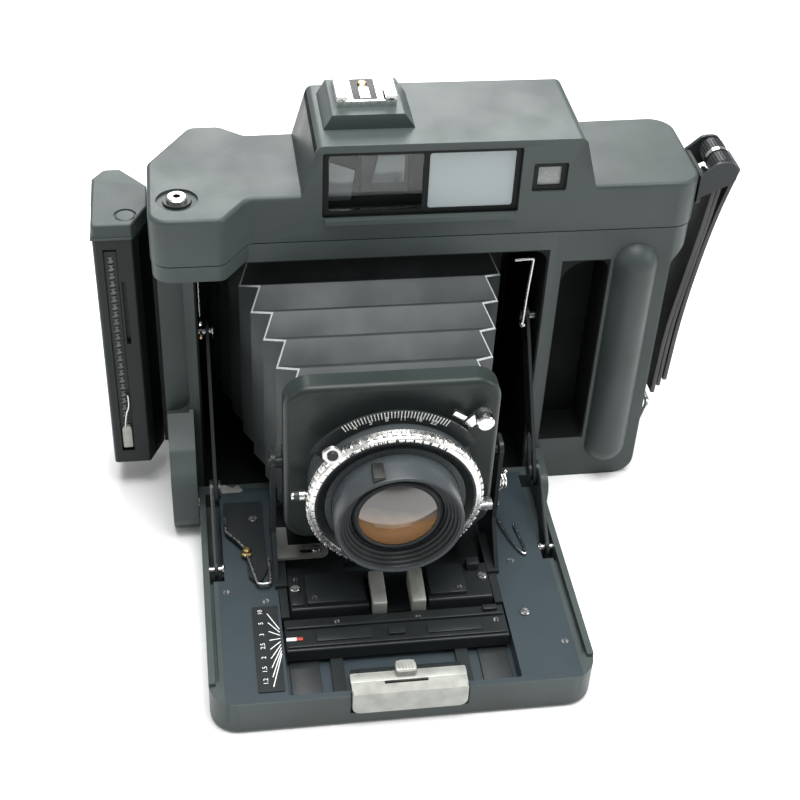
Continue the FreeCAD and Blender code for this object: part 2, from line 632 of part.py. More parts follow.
# ---------------------------------------------------------------- braces
def brace_links(side, word):
    """One side's upper and lower link with the knuckle rivet; side is -1 or 1."""
    top = (BRACE_TOP_Y, BRACE_TOP_Z)
    foot = (BRACE_FOOT_Y, BRACE_FOOT_Z)
    knuckle = (KNUCKLE_Y, KNUCKLE_Z)
    reach = math.dist(top, knuckle)
    away = [(knuckle[i] - top[i]) / reach for i in (0, 1)]
    tip = [knuckle[i] + away[i] * 1.0 for i in (0, 1)]
    inside = [knuckle[i] - away[i] * KNUCKLE_TRAVEL for i in (0, 1)]
    a, b = sorted((side * BRACE_INNER, side * (BRACE_INNER + BRACE_THICK)))
    upper = strip(top, tip, 9.5, a, b)
    upper = upper.cut(strip(knuckle, inside, 2 * STUD_RADIUS + 3.4, a - 1, b + 1))
    upper = upper.cut(rod(STUD_RADIUS - 0.3 + RUNNING_FIT, (a - 1, *top), X, 4))
    save("brace_upper_" + word, upper)
    gap = 0.3
    c, d = sorted((side * (BRACE_INNER + BRACE_THICK + gap), side * (BRACE_INNER + 2 * BRACE_THICK + gap)))
    lower = strip(knuckle, foot, 8.0, c, d)
    lower = lower.cut(rod(STUD_RADIUS - 0.3 + RUNNING_FIT, (c - 1, *foot), X, 4))
    e, f = sorted((side * (BRACE_INNER - 1.2), side * (BRACE_INNER + BRACE_THICK + gap)))
    rivet = rod(STUD_RADIUS, (e, *knuckle), X, f - e)
    g, h = sorted((side * (BRACE_INNER - 1.2), side * (BRACE_INNER - 0.3)))
    head = rod(3.6, (g, *knuckle), X, h - g)
    save("brace_lower_" + word, joined(lower, rivet, head))


# ---------------------------------------------------------------- carriage
def carriage_parts():
    low = TRACK_FLOOR + 2.1
    floor = plate([(-36, CARRIAGE_REAR, 0), (36, CARRIAGE_REAR, 0), (36, -80, 0), (-36, -80, 0)],
                  "xy", low, low + 1.6)
    floor = floor.cut(block(-15, 15, -90, -52, 0, 30))
    feet = [block(s * 38.4 - 1.4, s * 38.4 + 1.4, -80, CARRIAGE_REAR, low, BED_DECK + 0.5) for s in (-1, 1)]
    save("carriage_base", joined(floor, *feet))
    rear_bar = block(-36.3, 36.3, -79, -62, low + 1.6, 17.4)
    rear_bar = soften(rear_bar, 0.8, lambda e: level(e, 17.4))
    gap = block(-8.6, 13.0, -81.5, -61, low, 30)
    save("rear_cross_bar", rear_bar.cut(gap.common(block(-8.6, 13, -81.5, -66, low + 3, 30))))
    front_bar = block(-39.2, 39.2, CARRIAGE_FRONT, -81.4, low, 15.4)
    front_bar = soften(front_bar, 0.6, lambda e: level(e, 15.4))
    save("front_cross_bar", front_bar)
    for side, word in ((-1, "left"), (1, "right")):
        a, b = sorted((side * UPRIGHT_X, side * (UPRIGHT_X + UPRIGHT_THICK)))
        shape = plate([(-66, BED_DECK + 0.5, 1), (-34, BED_DECK + 0.5, 1), (-40, 34, 8),
                       (-44.5, TILT_Z + 5, 3),
                       (-53.5, TILT_Z + 5, 3), (-53, 30, 6)], "yz", a, b)
        foot = sorted((side * (UPRIGHT_X - 3.0), side * (UPRIGHT_X + UPRIGHT_THICK)))
        shoe = block(foot[0], foot[1], -66, CARRIAGE_REAR, BED_DECK + 0.5, BED_DECK + 1.7)
        upright = joined(shape, shoe)
        upright = upright.cut(rod(2.0 + RUNNING_FIT, (a - 1, TILT_Y, TILT_Z), X, 4))
        save("upright_" + word, upright)
    bracket = plate([(-39.5, -38, 0.5), (-35, -38, 0.5), (-35, -47.5, 0.5), (-20.5, -47.5, 3),
                     (-20.5, -54, 3),
                     (-39.5, -54, 0.5)], "xy", 17.0, 18.2)
    hole = plate(rounded_rectangle(-31, -23, -52, -49.5, 1.2), "xy", 16, 20)
    save("slotted_bracket", bracket.cut(hole))
    spots = [(-34.2, -69.1, 17.4), (33.9, -69.2, 17.4), (-25, -50.7, 18.2)]
    save("carriage_screws", group(screw(1.7, spot, Z, 0.9, 0.5) for spot in spots))
    coils = group([Part.makeTorus(3.0, 0.55, V(UPRIGHT_X + 2.2 + i * 1.2, -44.5, 42), X) for i in range(3)])
    save("torsion_spring", coils)


def finger_grips():
    """Two pinch grips that release the carriage, with the spring between them."""
    for x0, x1, word in ((-7.6, -2.4, "left"), (6.4, 11.6, "right")):
        grip = plate([(x0, -81.0, 0.8), (x1, -81.0, 0.8), (x1, -66.6, 0.8), (x0, -66.6, 0.8)], "xy", 13.6,
                     22.0)
        slant = plate([(-82, 23, 0), (-82, 19.5, 0), (-66, 22.4, 0), (-66, 23, 0)], "yz", x0 - 1, x1 + 1)
        save("finger_grip_" + word, grip.cut(slant))


# ---------------------------------------------------------------- standard
def disc(radius, y0, y1, x=0.0, z=LENS_Z):
    """A round slab on the lens axis between two depths."""
    return rod(radius, (x, y0, z), Y, y1 - y0)


def ring(outer, inner, y0, y1):
    """A round ring on the lens axis."""
    return disc(outer, y0, y1).cut(disc(inner, y0 - 1, y1 + 1))


def around(radius, degrees, y):
    """A point at an angle (from +X, towards +Z) around the lens axis."""
    turn = math.radians(degrees)
    return (radius * math.cos(turn), y, LENS_Z + radius * math.sin(turn))


def lens_housing():
    shape = plate(rounded_rectangle(-BOARD_HALF, BOARD_HALF, BOARD_LOW, BOARD_HIGH, 9),
                  "xz", BOARD_FRONT, BOARD_BACK)
    shape = soften(shape, 2.2, lambda e: at_depth(e, BOARD_FRONT))
    back = plate(rounded_rectangle(-BOARD_HALF + 2.5, BOARD_HALF - 2.5, BOARD_LOW + 2.5, BOARD_HIGH - 2.5,
                                   7),
                 "xz", BOARD_FRONT + 3, BOARD_BACK + 1)
    shape = shape.cut([back, disc(APERTURE_HOLE, BOARD_FRONT - 1, BOARD_BACK)])
    pins = []
    for side in (-1, 1):
        a, b = sorted((side * (BOARD_HALF - 2.4), side * (UPRIGHT_X + UPRIGHT_THICK + 0.6)))
        pins.append(rod(2.0, (a, TILT_Y, TILT_Z), X, b - a))
        c, d = sorted((side * (BOARD_HALF - 2.5), side * BOARD_HALF))
        pins.append(block(c, d, BOARD_BACK - 1, TILT_Y + 4, TILT_Z - 5, TILT_Z + 5))
    return joined(shape, *pins)


def shutter_parts():
    back = BOARD_FRONT
    case = disc(SHUTTER_RADIUS, SHUTTER_FRONT, back).cut(disc(APERTURE_HOLE, SHUTTER_FRONT - 1, back + 1))
    scale = ring(SHUTTER_RADIUS + 5, SHUTTER_RADIUS + 0.1, back - 6.5, back - 5.3)
    wedge = plate([(0, LENS_Z, 0), (-34, LENS_Z + 22, 0), (-14, LENS_Z + 60, 0), (40, LENS_Z + 60, 0),
                   (38, LENS_Z + 26, 0)], "xz", back - 8, back - 4)
    save("aperture_scale", scale.common(wedge))
    knurl = ring(RING_RADIUS, 24.5, SHUTTER_FRONT - RING_THICK, SHUTTER_FRONT - 0.1)
    teeth = []
    for i in range(36):
        teeth.append(rod(0.8, around(RING_RADIUS + 0.15, 200 + i * 6.2, SHUTTER_FRONT - RING_THICK - 1), Y,
                         8))
    save("speed_ring", knurl.cut(teeth))
    inner = ring(24.3, BARREL_RADIUS + 0.15, SHUTTER_FRONT - 3.4, SHUTTER_FRONT)
    peg = rod(1.6, (-SHUTTER_RADIUS - 5.4, back - 8.0, LENS_Z + 0.5), X, 6.5)
    save("shutter_case", joined(case, inner, peg))
    arm = plate([(-22.6, 81.0, 1), (-18.6, 84.8, 1), (-21.6, 89.6, 2.4), (-26.6, 85.4, 2.4)],
                "xz", SHUTTER_FRONT - RING_THICK - 1.5, SHUTTER_FRONT - RING_THICK - 0.2)
    save("aperture_lever", arm)
    stem = strip_xz((24.5, 83.0), (30.0, 88.5), 3.6, back - 3.2, back - 1.8)
    knob = rod(2.9, (30.0, back - 8.0, 88.5), Y, 4.8)
    save("cocking_lever", joined(stem, knob))
    trip = strip_xz((30.2, 49.3), (34.2, 46.0), 2.6, back - 5.0, back - 3.8)
    save("release_lever", trip)


def strip_xz(start, end, width, y0, y1):
    """A round-ended bar in the XZ plane between two (x, z) points, from y0 to y1."""
    bar = strip(start, end, width, y0, y1)
    turned = bar.transformGeometry(FreeCAD.Matrix(0, 1, 0, 0, 1, 0, 0, 0, 0, 0, 1, 0, 0, 0, 0, 1))
    return turned


def lens_parts():
    rear = SHUTTER_FRONT - 0.1
    barrel = disc(BARREL_RADIUS, BARREL_FRONT, rear)
    barrel = barrel.cut(disc(BARREL_RADIUS - 1.6, BARREL_FRONT - 1, BARREL_FRONT + 3.0))
    cone = Part.makeCone(BARREL_RADIUS - 1.6, GLASS_RADIUS + 0.2, 2.5, V(0, BARREL_FRONT + 2.9, LENS_Z), Y)
    barrel = barrel.cut(cone).cut(disc(GLASS_RADIUS + 0.05, BARREL_FRONT, rear + 1))
    save("lens_barrel", barrel)
    dome = Part.makeSphere(34, V(0, BARREL_FRONT + 37.0, LENS_Z))
    front = dome.common(disc(GLASS_RADIUS, BARREL_FRONT + 1, BARREL_FRONT + 8.5))
    save("front_lens", front)
    blades = ring(APERTURE_HOLE - 0.1, 4.0, BOARD_FRONT - 4.0, BOARD_FRONT - 3.0)
    save("shutter_blades", blades)
    back = Part.makeSphere(30, V(0, BOARD_FRONT - 27.0, LENS_Z))
    back = back.common(disc(APERTURE_HOLE - 0.1, BOARD_FRONT - 2, BOARD_BACK))
    save("rear_lens", back)
    frame = plate(rounded_rectangle(-BELLOWS_FRONT_HALF, BELLOWS_FRONT_HALF, BELLOWS_FRONT_LOW,
                                    BELLOWS_FRONT_HIGH, 2), "xz", BOARD_BACK - 2.5, BOARD_BACK - 0.9)
    hole = plate(rounded_rectangle(-26, 26, 34, 88, 2), "xz", BOARD_BACK - 4, BOARD_BACK + 2)
    save("bellows_front_frame", frame.cut(hole))


def bellows():
    """Closed skin with straight-sided folds that narrows towards the standard."""
    front = BOARD_BACK - 0.7
    rear = CHAMBER_DEPTH - 0.3
    step = (rear - front) / (2 * BELLOWS_FOLDS)

    def section(i, inset):
        y = front + i * step
        share = i / (2.0 * BELLOWS_FOLDS)
        tuck = inset + (2.6 if i % 2 == 0 else 0.0)
        half = BELLOWS_FRONT_HALF + (BELLOWS_REAR_HALF - BELLOWS_FRONT_HALF) * share - tuck
        low = BELLOWS_FRONT_LOW + (BELLOWS_REAR_LOW - BELLOWS_FRONT_LOW) * share + tuck
        high = BELLOWS_FRONT_HIGH + (BELLOWS_REAR_HIGH - BELLOWS_FRONT_HIGH) * share - tuck
        corner = [(-half, low, 0), (half, low, 0), (half, high, 0), (-half, high, 0)]
        return outline(corner, "xz", y)

    def loft(inset):
        return Part.makeLoft([section(i, inset) for i in range(2 * BELLOWS_FOLDS + 1)], True, True)

    save("bellows", loft(0).cut(loft(BELLOWS_SKIN)))


# ---------------------------------------------------------------- roller door
def roller_door():
    x0, x1 = DOOR_LEFT, DOOR_RIGHT
    y0, y1 = DOOR_FRONT, DOOR_BACK
    plan = [(x0, y0, 1.5), (x1 - 5.5, y0, 1), (x1, y0 + 12, 1), (x1, y1 - 12, 1), (x1 - 5.5, y1 - 5, 1),
            (x1 - 9.5, y1, 1), (x0 + 4, y1, 3), (x0, y1 - 6, 3)]
    shell = plate(plan, "xy", DOOR_LOW, DOOR_HIGH)
    shell = soften(shell, 0.8, lambda e: level(e, DOOR_HIGH))
    hollow = plate([(x0 + 2.4, y0 + 4.5, 1), (x1 + 1, y0 + 4.5, 0), (x1 + 1, y1 - 13, 0),
                    (x0 + 2.4, y1 - 4, 2)],
                   "xy", DOOR_LOW + 2.5, DOOR_HIGH - 8)
    groove = block(x0 + 3.4, x0 + 8.2, y0 - 1, y0 + 1.6, DOOR_LOW + 6, DOOR_HIGH - 10)
    slot = block(x0 + 9.0, x0 + 10.6, y0 - 1, y0 + 2.2, DOOR_HIGH - 52, DOOR_HIGH - 24)
    dimple = rod(4.0, (x0 + 12.0, y0 + 6.5, DOOR_HIGH - 0.6), Z, 3)
    shell = shell.cut([hollow, groove, slot, dimple])
    low = DOOR_LUGS[0][1] + 0.3
    high = DOOR_LUGS[1][0] - 0.3
    px, py = DOOR_PIN
    shell = shell.fuse([rod(KNUCKLE_RADIUS, (px, py, low), Z, high - low), block(px - 6, px, py - 4,
                                                                                 py + 1.8, low, high)])
    for start, stop in DOOR_LUGS:
        shell = shell.cut(rod(KNUCKLE_RADIUS + 0.5, (px, py, start - 0.3), Z, stop - start + 0.6))
    shell = shell.cut(rod(DOOR_PIN_RADIUS + RUNNING_FIT, (px, py, low - 1), Z, high - low + 2))
    centre = (x0 + 9.6, y0 + 14.0)
    other = (x0 + 9.6, y0 + 14.0 + 2 * ROLLER_RADIUS + 0.5)
    for (x, y), word in ((centre, "front"), (other, "rear")):
        body = rod(ROLLER_RADIUS, (x, y, DOOR_LOW + 3.2), Z, DOOR_HIGH - DOOR_LOW - 12.0)
        axle = rod(1.5, (x, y, DOOR_LOW + 1.0), Z, DOOR_HIGH - DOOR_LOW - 6.5)
        save("roller_" + word, joined(body, axle))
        shell = shell.cut(rod(1.5 + RUNNING_FIT, (x, y, DOOR_LOW + 0.8), Z, DOOR_HIGH - DOOR_LOW - 6.1))
    save("roller_door_shell", shell.removeSplitter())


def back_door():
    y0 = BODY_DEPTH + 0.3
    y1 = BODY_DEPTH + BACK_THICK
    x0, x1 = BODY_LEFT + 0.5, BODY_RIGHT - 0.5
    shell = plate([(x0, 1.0, 6), (x1, 1.0, 8), (x1, BACK_HIGH - 8, 8), (x0, BACK_HIGH - 8, 6)], "xz", y0,
                  y1)
    shell = soften(shell, 2.0, lambda e: at_depth(e, y1))
    hollow = plate(rounded_rectangle(x0 + 4, x1 - 6, 5, BACK_HIGH - 12, 4), "xz", y0 - 1, y1 - WALL)
    ribs = [block(x, x + 2, y1 - 0.6, y1 + 1, 16, BACK_HIGH - 24) for x in range(-40, 60, 12)]
    shell = shell.cut([hollow]).cut(ribs)
    shell = shell.cut([block(x1 - 4, x1 + 5, y0 - 1, BACK_PIN[1] + 0.5, start - 0.3, stop + 0.3)
                       for start, stop in BACK_LUGS])
    low = BACK_LUGS[0][1] + 0.3
    high = BACK_LUGS[1][0] - 0.3
    px, py = BACK_PIN
    shell = shell.fuse([rod(KNUCKLE_RADIUS, (px, py, low), Z, high - low),
                        block(px - 6, px, y0, py + KNUCKLE_RADIUS, low, high)])
    for start, stop in BACK_LUGS:
        shell = shell.cut(rod(KNUCKLE_RADIUS + 0.5, (px, py, start - 0.3), Z, stop - start + 0.6))
    shell = shell.cut(rod(DOOR_PIN_RADIUS + RUNNING_FIT, (px, py, low - 1), Z, high - low + 2))
    save("back_door", shell.removeSplitter())
    pressure = plate(rounded_rectangle(-50, 50, 18, 99, 2), "xz", y0 + 2.2, y0 + 3.8)
    springs = [block(-20, 20, y0 + 3.8, y1 - WALL, z, z + 4) for z in (40, 72)]
    save("pressure_plate", joined(pressure, *springs))


def save(name, shape):
    """One STEP file per node, measured from the camera bush."""
    shape = shape.copy()
    shape.translate(V(-BUSH_X, -BUSH_Y, 0))
    shape.exportStep("parts/" + name + ".step")


def main():
    os.makedirs("parts", exist_ok=True)
    shell = body_shell()
    grip_side = plate([(GRIP_SPLIT, -60, 0), (BODY_RIGHT + 60, -60, 0), (BODY_RIGHT + 60, BODY_DEPTH + 60,
                                                                         0),
                       (GRIP_SPLIT, BODY_DEPTH + 60, 0)], "xy", -60, COVER_TOP + 60)
    save("body_shell", shell.cut(grip_side))
    save("grip_shell", shell.common(grip_side))
    save("top_cover", top_cover())
    save("release_collar", release_collar())
    save("release_button", release_button())
    finder_parts()
    accessory_shoe()
    base_parts()
    film_frame()
    strap_parts()
    bed_parts()
    for side, word in ((-1, "left"), (1, "right")):
        brace_links(side, word)
    carriage_parts()
    finger_grips()
    save("lens_housing", lens_housing())
    shutter_parts()
    lens_parts()
    bellows()
    roller_door()
    back_door()


main()
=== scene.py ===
import sys
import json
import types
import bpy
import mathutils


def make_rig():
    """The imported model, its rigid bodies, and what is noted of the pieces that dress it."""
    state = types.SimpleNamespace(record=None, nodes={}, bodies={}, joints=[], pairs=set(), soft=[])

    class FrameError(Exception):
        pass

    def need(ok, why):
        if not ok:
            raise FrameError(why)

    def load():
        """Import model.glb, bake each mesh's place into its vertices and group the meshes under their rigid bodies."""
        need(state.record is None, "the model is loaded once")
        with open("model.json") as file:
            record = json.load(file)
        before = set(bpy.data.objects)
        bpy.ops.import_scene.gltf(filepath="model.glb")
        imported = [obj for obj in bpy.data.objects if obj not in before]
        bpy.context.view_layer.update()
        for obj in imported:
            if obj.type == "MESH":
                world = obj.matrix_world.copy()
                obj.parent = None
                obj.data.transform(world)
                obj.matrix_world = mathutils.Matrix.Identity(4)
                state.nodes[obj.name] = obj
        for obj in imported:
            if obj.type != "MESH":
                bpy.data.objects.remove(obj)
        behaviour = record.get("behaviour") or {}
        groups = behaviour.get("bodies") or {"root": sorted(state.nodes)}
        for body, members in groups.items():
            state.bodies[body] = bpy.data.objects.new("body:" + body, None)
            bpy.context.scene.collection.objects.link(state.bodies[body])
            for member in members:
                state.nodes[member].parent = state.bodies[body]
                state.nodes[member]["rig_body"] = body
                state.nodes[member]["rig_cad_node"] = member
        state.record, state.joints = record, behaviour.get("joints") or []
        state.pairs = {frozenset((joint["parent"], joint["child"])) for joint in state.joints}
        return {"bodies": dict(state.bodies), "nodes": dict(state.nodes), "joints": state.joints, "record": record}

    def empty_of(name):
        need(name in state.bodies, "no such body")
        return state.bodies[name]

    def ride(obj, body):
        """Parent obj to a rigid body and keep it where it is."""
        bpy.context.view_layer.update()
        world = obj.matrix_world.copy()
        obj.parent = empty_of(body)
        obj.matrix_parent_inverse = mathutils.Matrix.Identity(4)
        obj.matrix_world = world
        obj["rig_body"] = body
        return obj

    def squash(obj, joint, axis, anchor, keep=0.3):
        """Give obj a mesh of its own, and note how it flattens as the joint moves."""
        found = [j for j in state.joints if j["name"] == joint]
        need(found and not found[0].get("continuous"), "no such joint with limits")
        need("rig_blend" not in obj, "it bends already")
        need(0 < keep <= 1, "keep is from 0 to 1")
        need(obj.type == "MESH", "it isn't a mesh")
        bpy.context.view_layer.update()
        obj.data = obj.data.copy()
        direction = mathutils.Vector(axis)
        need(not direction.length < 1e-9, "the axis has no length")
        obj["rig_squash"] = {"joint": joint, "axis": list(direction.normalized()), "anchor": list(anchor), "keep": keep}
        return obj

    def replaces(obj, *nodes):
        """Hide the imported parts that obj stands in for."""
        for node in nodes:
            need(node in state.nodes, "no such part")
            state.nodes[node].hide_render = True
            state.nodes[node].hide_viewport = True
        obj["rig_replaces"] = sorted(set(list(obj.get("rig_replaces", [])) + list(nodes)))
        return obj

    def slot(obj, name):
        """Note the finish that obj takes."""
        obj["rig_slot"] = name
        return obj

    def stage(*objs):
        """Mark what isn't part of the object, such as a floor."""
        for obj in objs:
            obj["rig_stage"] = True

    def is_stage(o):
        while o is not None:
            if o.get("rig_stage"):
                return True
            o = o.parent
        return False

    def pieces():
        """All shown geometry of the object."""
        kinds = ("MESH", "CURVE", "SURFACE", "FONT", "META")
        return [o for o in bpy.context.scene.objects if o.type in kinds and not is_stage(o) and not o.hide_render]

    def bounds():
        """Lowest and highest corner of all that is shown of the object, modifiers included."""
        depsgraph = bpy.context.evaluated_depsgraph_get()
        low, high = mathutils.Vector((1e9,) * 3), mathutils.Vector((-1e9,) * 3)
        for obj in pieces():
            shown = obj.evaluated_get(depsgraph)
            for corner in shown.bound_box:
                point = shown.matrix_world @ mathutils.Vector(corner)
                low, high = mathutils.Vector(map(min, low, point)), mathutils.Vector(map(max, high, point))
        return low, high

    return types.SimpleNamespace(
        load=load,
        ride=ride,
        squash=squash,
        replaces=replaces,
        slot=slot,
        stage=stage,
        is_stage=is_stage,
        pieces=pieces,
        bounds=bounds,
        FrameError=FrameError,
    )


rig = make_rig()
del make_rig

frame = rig.load()

import json
import math

import bmesh
import bpy
from mathutils import Matrix, Vector

bl_info = {
    "name": "Folding Camera",
    "version": (1, 0, 0),
    "blender": (4, 5, 0),
    "location": "View3D > Sidebar > Camera",
    "description": "Dresses the packed folding camera: materials, bellows, lens, strap, deck and stage",
    "category": "Object",
}

# Metres. +X is the grip side, -Y the way the lens looks, +Z up, origin in the mouth of the camera bush.
MM = 0.001
FRONT = -0.026          # front plane of the top cover
FORWARD = Vector((0, -1, 0))
UP = Vector((0, 0, 1))
NODES = frame["nodes"]
CAD_BOX = [list(c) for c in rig.bounds()]


def at(x, y, z):
    """A point given in millimetres from the cover's front plane."""
    return Vector((x * MM, FRONT + y * MM, z * MM))


LENS_CENTRE = at(0, 0, 60)


# ------------------------------------------------------------------ materials
def add_node(tree, kind, inputs):
    """A new node; each of its inputs takes a value or a link from another node's socket."""
    node = tree.nodes.new(kind)
    for label, value in inputs.items():
        if isinstance(value, bpy.types.NodeSocket):
            tree.links.new(value, node.inputs[label])
        else:
            node.inputs[label].default_value = value
    return node


def math_node(tree, operation, *values):
    node = add_node(tree, "ShaderNodeMath", dict(enumerate(values)))
    node.operation = operation
    return node.outputs[0]


def shader(name, colour, rough, metal=0.0, **values):
    """A new node material and its Principled shader."""
    mat = bpy.data.materials.new(name)
    mat.use_nodes = True
    tree = mat.node_tree
    bsdf = next(n for n in tree.nodes if n.type == "BSDF_PRINCIPLED")
    labels = {"Base Color": (*colour, 1), "Roughness": rough, "Metallic": metal}
    labels.update({label.replace("_", " "): value for label, value in values.items()})
    for label, value in labels.items():
        bsdf.inputs[label].default_value = value
    return mat, tree, bsdf


def coords(tree):
    return tree.nodes.new("ShaderNodeTexCoord").outputs["Object"]


def noise(tree, source, scale, detail=3.0, rough=0.5):
    return add_node(tree, "ShaderNodeTexNoise", {"Scale": scale, "Detail": detail, "Roughness": rough,
                                                 "Vector": source}).outputs["Fac"]


def scaled(colour, factor):
    return tuple(min(1.0, c * factor) for c in colour)


def ramp(tree, source, low, high, start=0.35, stop=0.65):
    """Colours or greys between two stops of a value."""
    node = add_node(tree, "ShaderNodeValToRGB", {"Fac": source})
    for end, place, tone in zip(node.color_ramp.elements, (start, stop), (low, high)):
        end.position = place
        end.color = (*tone, 1) if isinstance(tone, tuple) else (tone, tone, tone, 1)
    return node.outputs["Color"]


def bump(tree, bsdf, source, strength, distance):
    node = add_node(tree, "ShaderNodeBump", {"Strength": strength, "Distance": distance, "Height": source})
    tree.links.new(node.outputs["Normal"], bsdf.inputs["Normal"])


def laid_over(tree, mask, under, over):
    """A colour socket with a fixed colour over it where the mask is 1."""
    mix = tree.nodes.new("ShaderNodeMix")
    mix.data_type = "RGBA"
    mix.inputs["B"].default_value = (*over, 1)
    tree.links.new(mask, mix.inputs["Factor"])
    tree.links.new(under, mix.inputs["A"])
    return mix.outputs["Result"]


def edge_wear(tree, colour_socket, worn, amount, low=0.52, high=0.6):
    """Painted highlight: mixes a lighter colour in where edges stand proud."""
    geometry = tree.nodes.new("ShaderNodeNewGeometry")
    mask = ramp(tree, geometry.outputs["Pointiness"], 0.0, amount, low, high)
    return laid_over(tree, mask, colour_socket, worn)


def moulded_plastic(name, colour, rough, grain, grain_scale=1500.0):
    """Moulded plastic: cloudy tone, fine leathery grain, uneven gloss and painted highlights on proud edges."""
    mat, tree, bsdf = shader(name, colour, rough, Specular_IOR_Level=0.24)
    place = coords(tree)
    tone = ramp(tree, noise(tree, place, 22.0, 4.0), scaled(colour, 0.86), scaled(colour, 1.14))
    # Painted highlight: a lighter tone on proud edges.
    tone = edge_wear(tree, tone, scaled(colour, 1.9), 0.35)
    tree.links.new(tone, bsdf.inputs["Base Color"])
    gloss = ramp(tree, noise(tree, place, 60.0, 5.0), rough - 0.05, rough + 0.06)
    tree.links.new(gloss, bsdf.inputs["Roughness"])
    bump(tree, bsdf, noise(tree, place, grain_scale, 3.0, 0.6), grain, 0.00008)
    return mat


def inside_of(tree, place, boxes):
    """1 inside any of the boxes."""
    total = None
    split = add_node(tree, "ShaderNodeSeparateXYZ", {0: place})
    for box in boxes:
        share = None
        for axis, (low, high), shift in zip(split.outputs, box, (0.0, FRONT, 0.0)):
            above = math_node(tree, "GREATER_THAN", axis, low * MM + shift)
            below = math_node(tree, "LESS_THAN", axis, high * MM + shift)
            both = math_node(tree, "MULTIPLY", above, below)
            share = both if share is None else math_node(tree, "MULTIPLY", share, both)
        total = share if total is None else math_node(tree, "MAXIMUM", total, share)
    return total


def black_inside(mat, boxes, colour, dulling):
    """Paints the parts of a body material that lie inside the boxes, and adds to their roughness."""
    tree = mat.node_tree
    bsdf = next(n for n in tree.nodes if n.type == "BSDF_PRINCIPLED")
    tone, gloss = (bsdf.inputs[label].links[0].from_socket for label in ("Base Color", "Roughness"))
    mask = inside_of(tree, coords(tree), boxes)
    tree.links.new(laid_over(tree, mask, tone, colour), bsdf.inputs["Base Color"])
    dull = math_node(tree, "MULTIPLY", mask, dulling)
    tree.links.new(math_node(tree, "ADD", gloss, dull), bsdf.inputs["Roughness"])
    return mat


def bare_metal(name, colour, rough, along=(1, 1, 1), mark=0.12):
    """Bare or plated metal with fine directional scratches and stains."""
    mat, tree, bsdf = shader(name, colour, rough, 1.0)
    place = coords(tree)
    drawn = add_node(tree, "ShaderNodeMapping", {"Scale": along, "Vector": place}).outputs["Vector"]
    lines = noise(tree, drawn, 900.0, 2.0)
    tone = ramp(tree, noise(tree, place, 160.0, 5.0), scaled(colour, 1 - mark), colour, 0.38, 0.55)
    tree.links.new(tone, bsdf.inputs["Base Color"])
    tree.links.new(ramp(tree, lines, rough - 0.07, rough + 0.10, 0.3, 0.7), bsdf.inputs["Roughness"])
    bump(tree, bsdf, lines, 0.12, 0.00003)
    return mat


def cast_alloy(name, colour, rough):
    """Tumbled light alloy: half metallic, soft and a little stained."""
    mat, tree, bsdf = shader(name, colour, rough, 0.35)
    place = coords(tree)
    tone = ramp(tree, noise(tree, place, 140.0, 5.0), scaled(colour, 0.78), scaled(colour, 1.15), 0.3, 0.7)
    tree.links.new(tone, bsdf.inputs["Base Color"])
    gloss = ramp(tree, noise(tree, place, 300.0), rough - 0.08, rough + 0.12)
    tree.links.new(gloss, bsdf.inputs["Roughness"])
    bump(tree, bsdf, noise(tree, place, 1600.0, 2.0), 0.15, 0.00004)
    return mat


def glass(name, colour, rough=0.02, coat=0.0, transmit=1.0, ior=1.5):
    return shader(name, colour, rough, Transmission_Weight=transmit, IOR=ior, Coat_Weight=coat,
                  Coat_Roughness=0.03)[0]


def coated_lens(colour):
    """Front lens: amber below, darkened above by a painted reflection band and painted shade, under a clear coating."""
    mat, tree, bsdf = shader("coated_lens", colour, 0.08, Coat_Weight=1.0, Coat_Roughness=0.02,
                             Specular_IOR_Level=0.8)
    place = coords(tree)
    split = add_node(tree, "ShaderNodeSeparateXYZ", {0: place})
    soft = math_node(tree, "MULTIPLY", noise(tree, place, 90.0, 4.0), 0.008)
    height = math_node(tree, "ADD", split.outputs["Z"], soft)
    level = math_node(tree, "DIVIDE", math_node(tree, "SUBTRACT", height, LENS_CENTRE.z - 0.012), 0.03)
    # Painted reflection band and painted shade: grey-brown, then near black towards the top.
    tone = ramp(tree, level, colour, (0.05, 0.042, 0.035), 0.42, 0.68)
    middle = tone.node.color_ramp.elements.new(0.55)
    middle.color = (0.16, 0.12, 0.085, 1)
    tree.links.new(tone, bsdf.inputs["Base Color"])
    return mat


def painted_mark(name, colour, rough=0.5):
    """Paint in an engraved mark, a little uneven."""
    mat, tree, bsdf = shader(name, colour, rough)
    tone = ramp(tree, noise(tree, coords(tree), 900.0), scaled(colour, 0.8), colour)
    tree.links.new(tone, bsdf.inputs["Base Color"])
    return mat


def bellows_cloth():
    """Coated cloth: fine weave, soft sheen and painted highlights on the fold crests."""
    mat, tree, bsdf = shader("bellows_cloth", (0.021, 0.027, 0.027), 0.42, Specular_IOR_Level=0.2)
    place = coords(tree)
    tone = ramp(tree, noise(tree, place, 70.0, 5.0), (0.009, 0.013, 0.013), (0.023, 0.029, 0.029))
    # Painted highlight on the fold crests.
    tone = edge_wear(tree, tone, (0.13, 0.145, 0.145), 0.5, 0.5, 0.58)
    tree.links.new(tone, bsdf.inputs["Base Color"])
    weave = add_node(tree, "ShaderNodeTexWave", {"Scale": 420.0, "Distortion": 1.2, "Vector": place})
    bump(tree, bsdf, weave.outputs["Fac"], 0.12, 0.00005)
    tree.links.new(ramp(tree, noise(tree, place, 40.0), 0.36, 0.5), bsdf.inputs["Roughness"])
    return mat


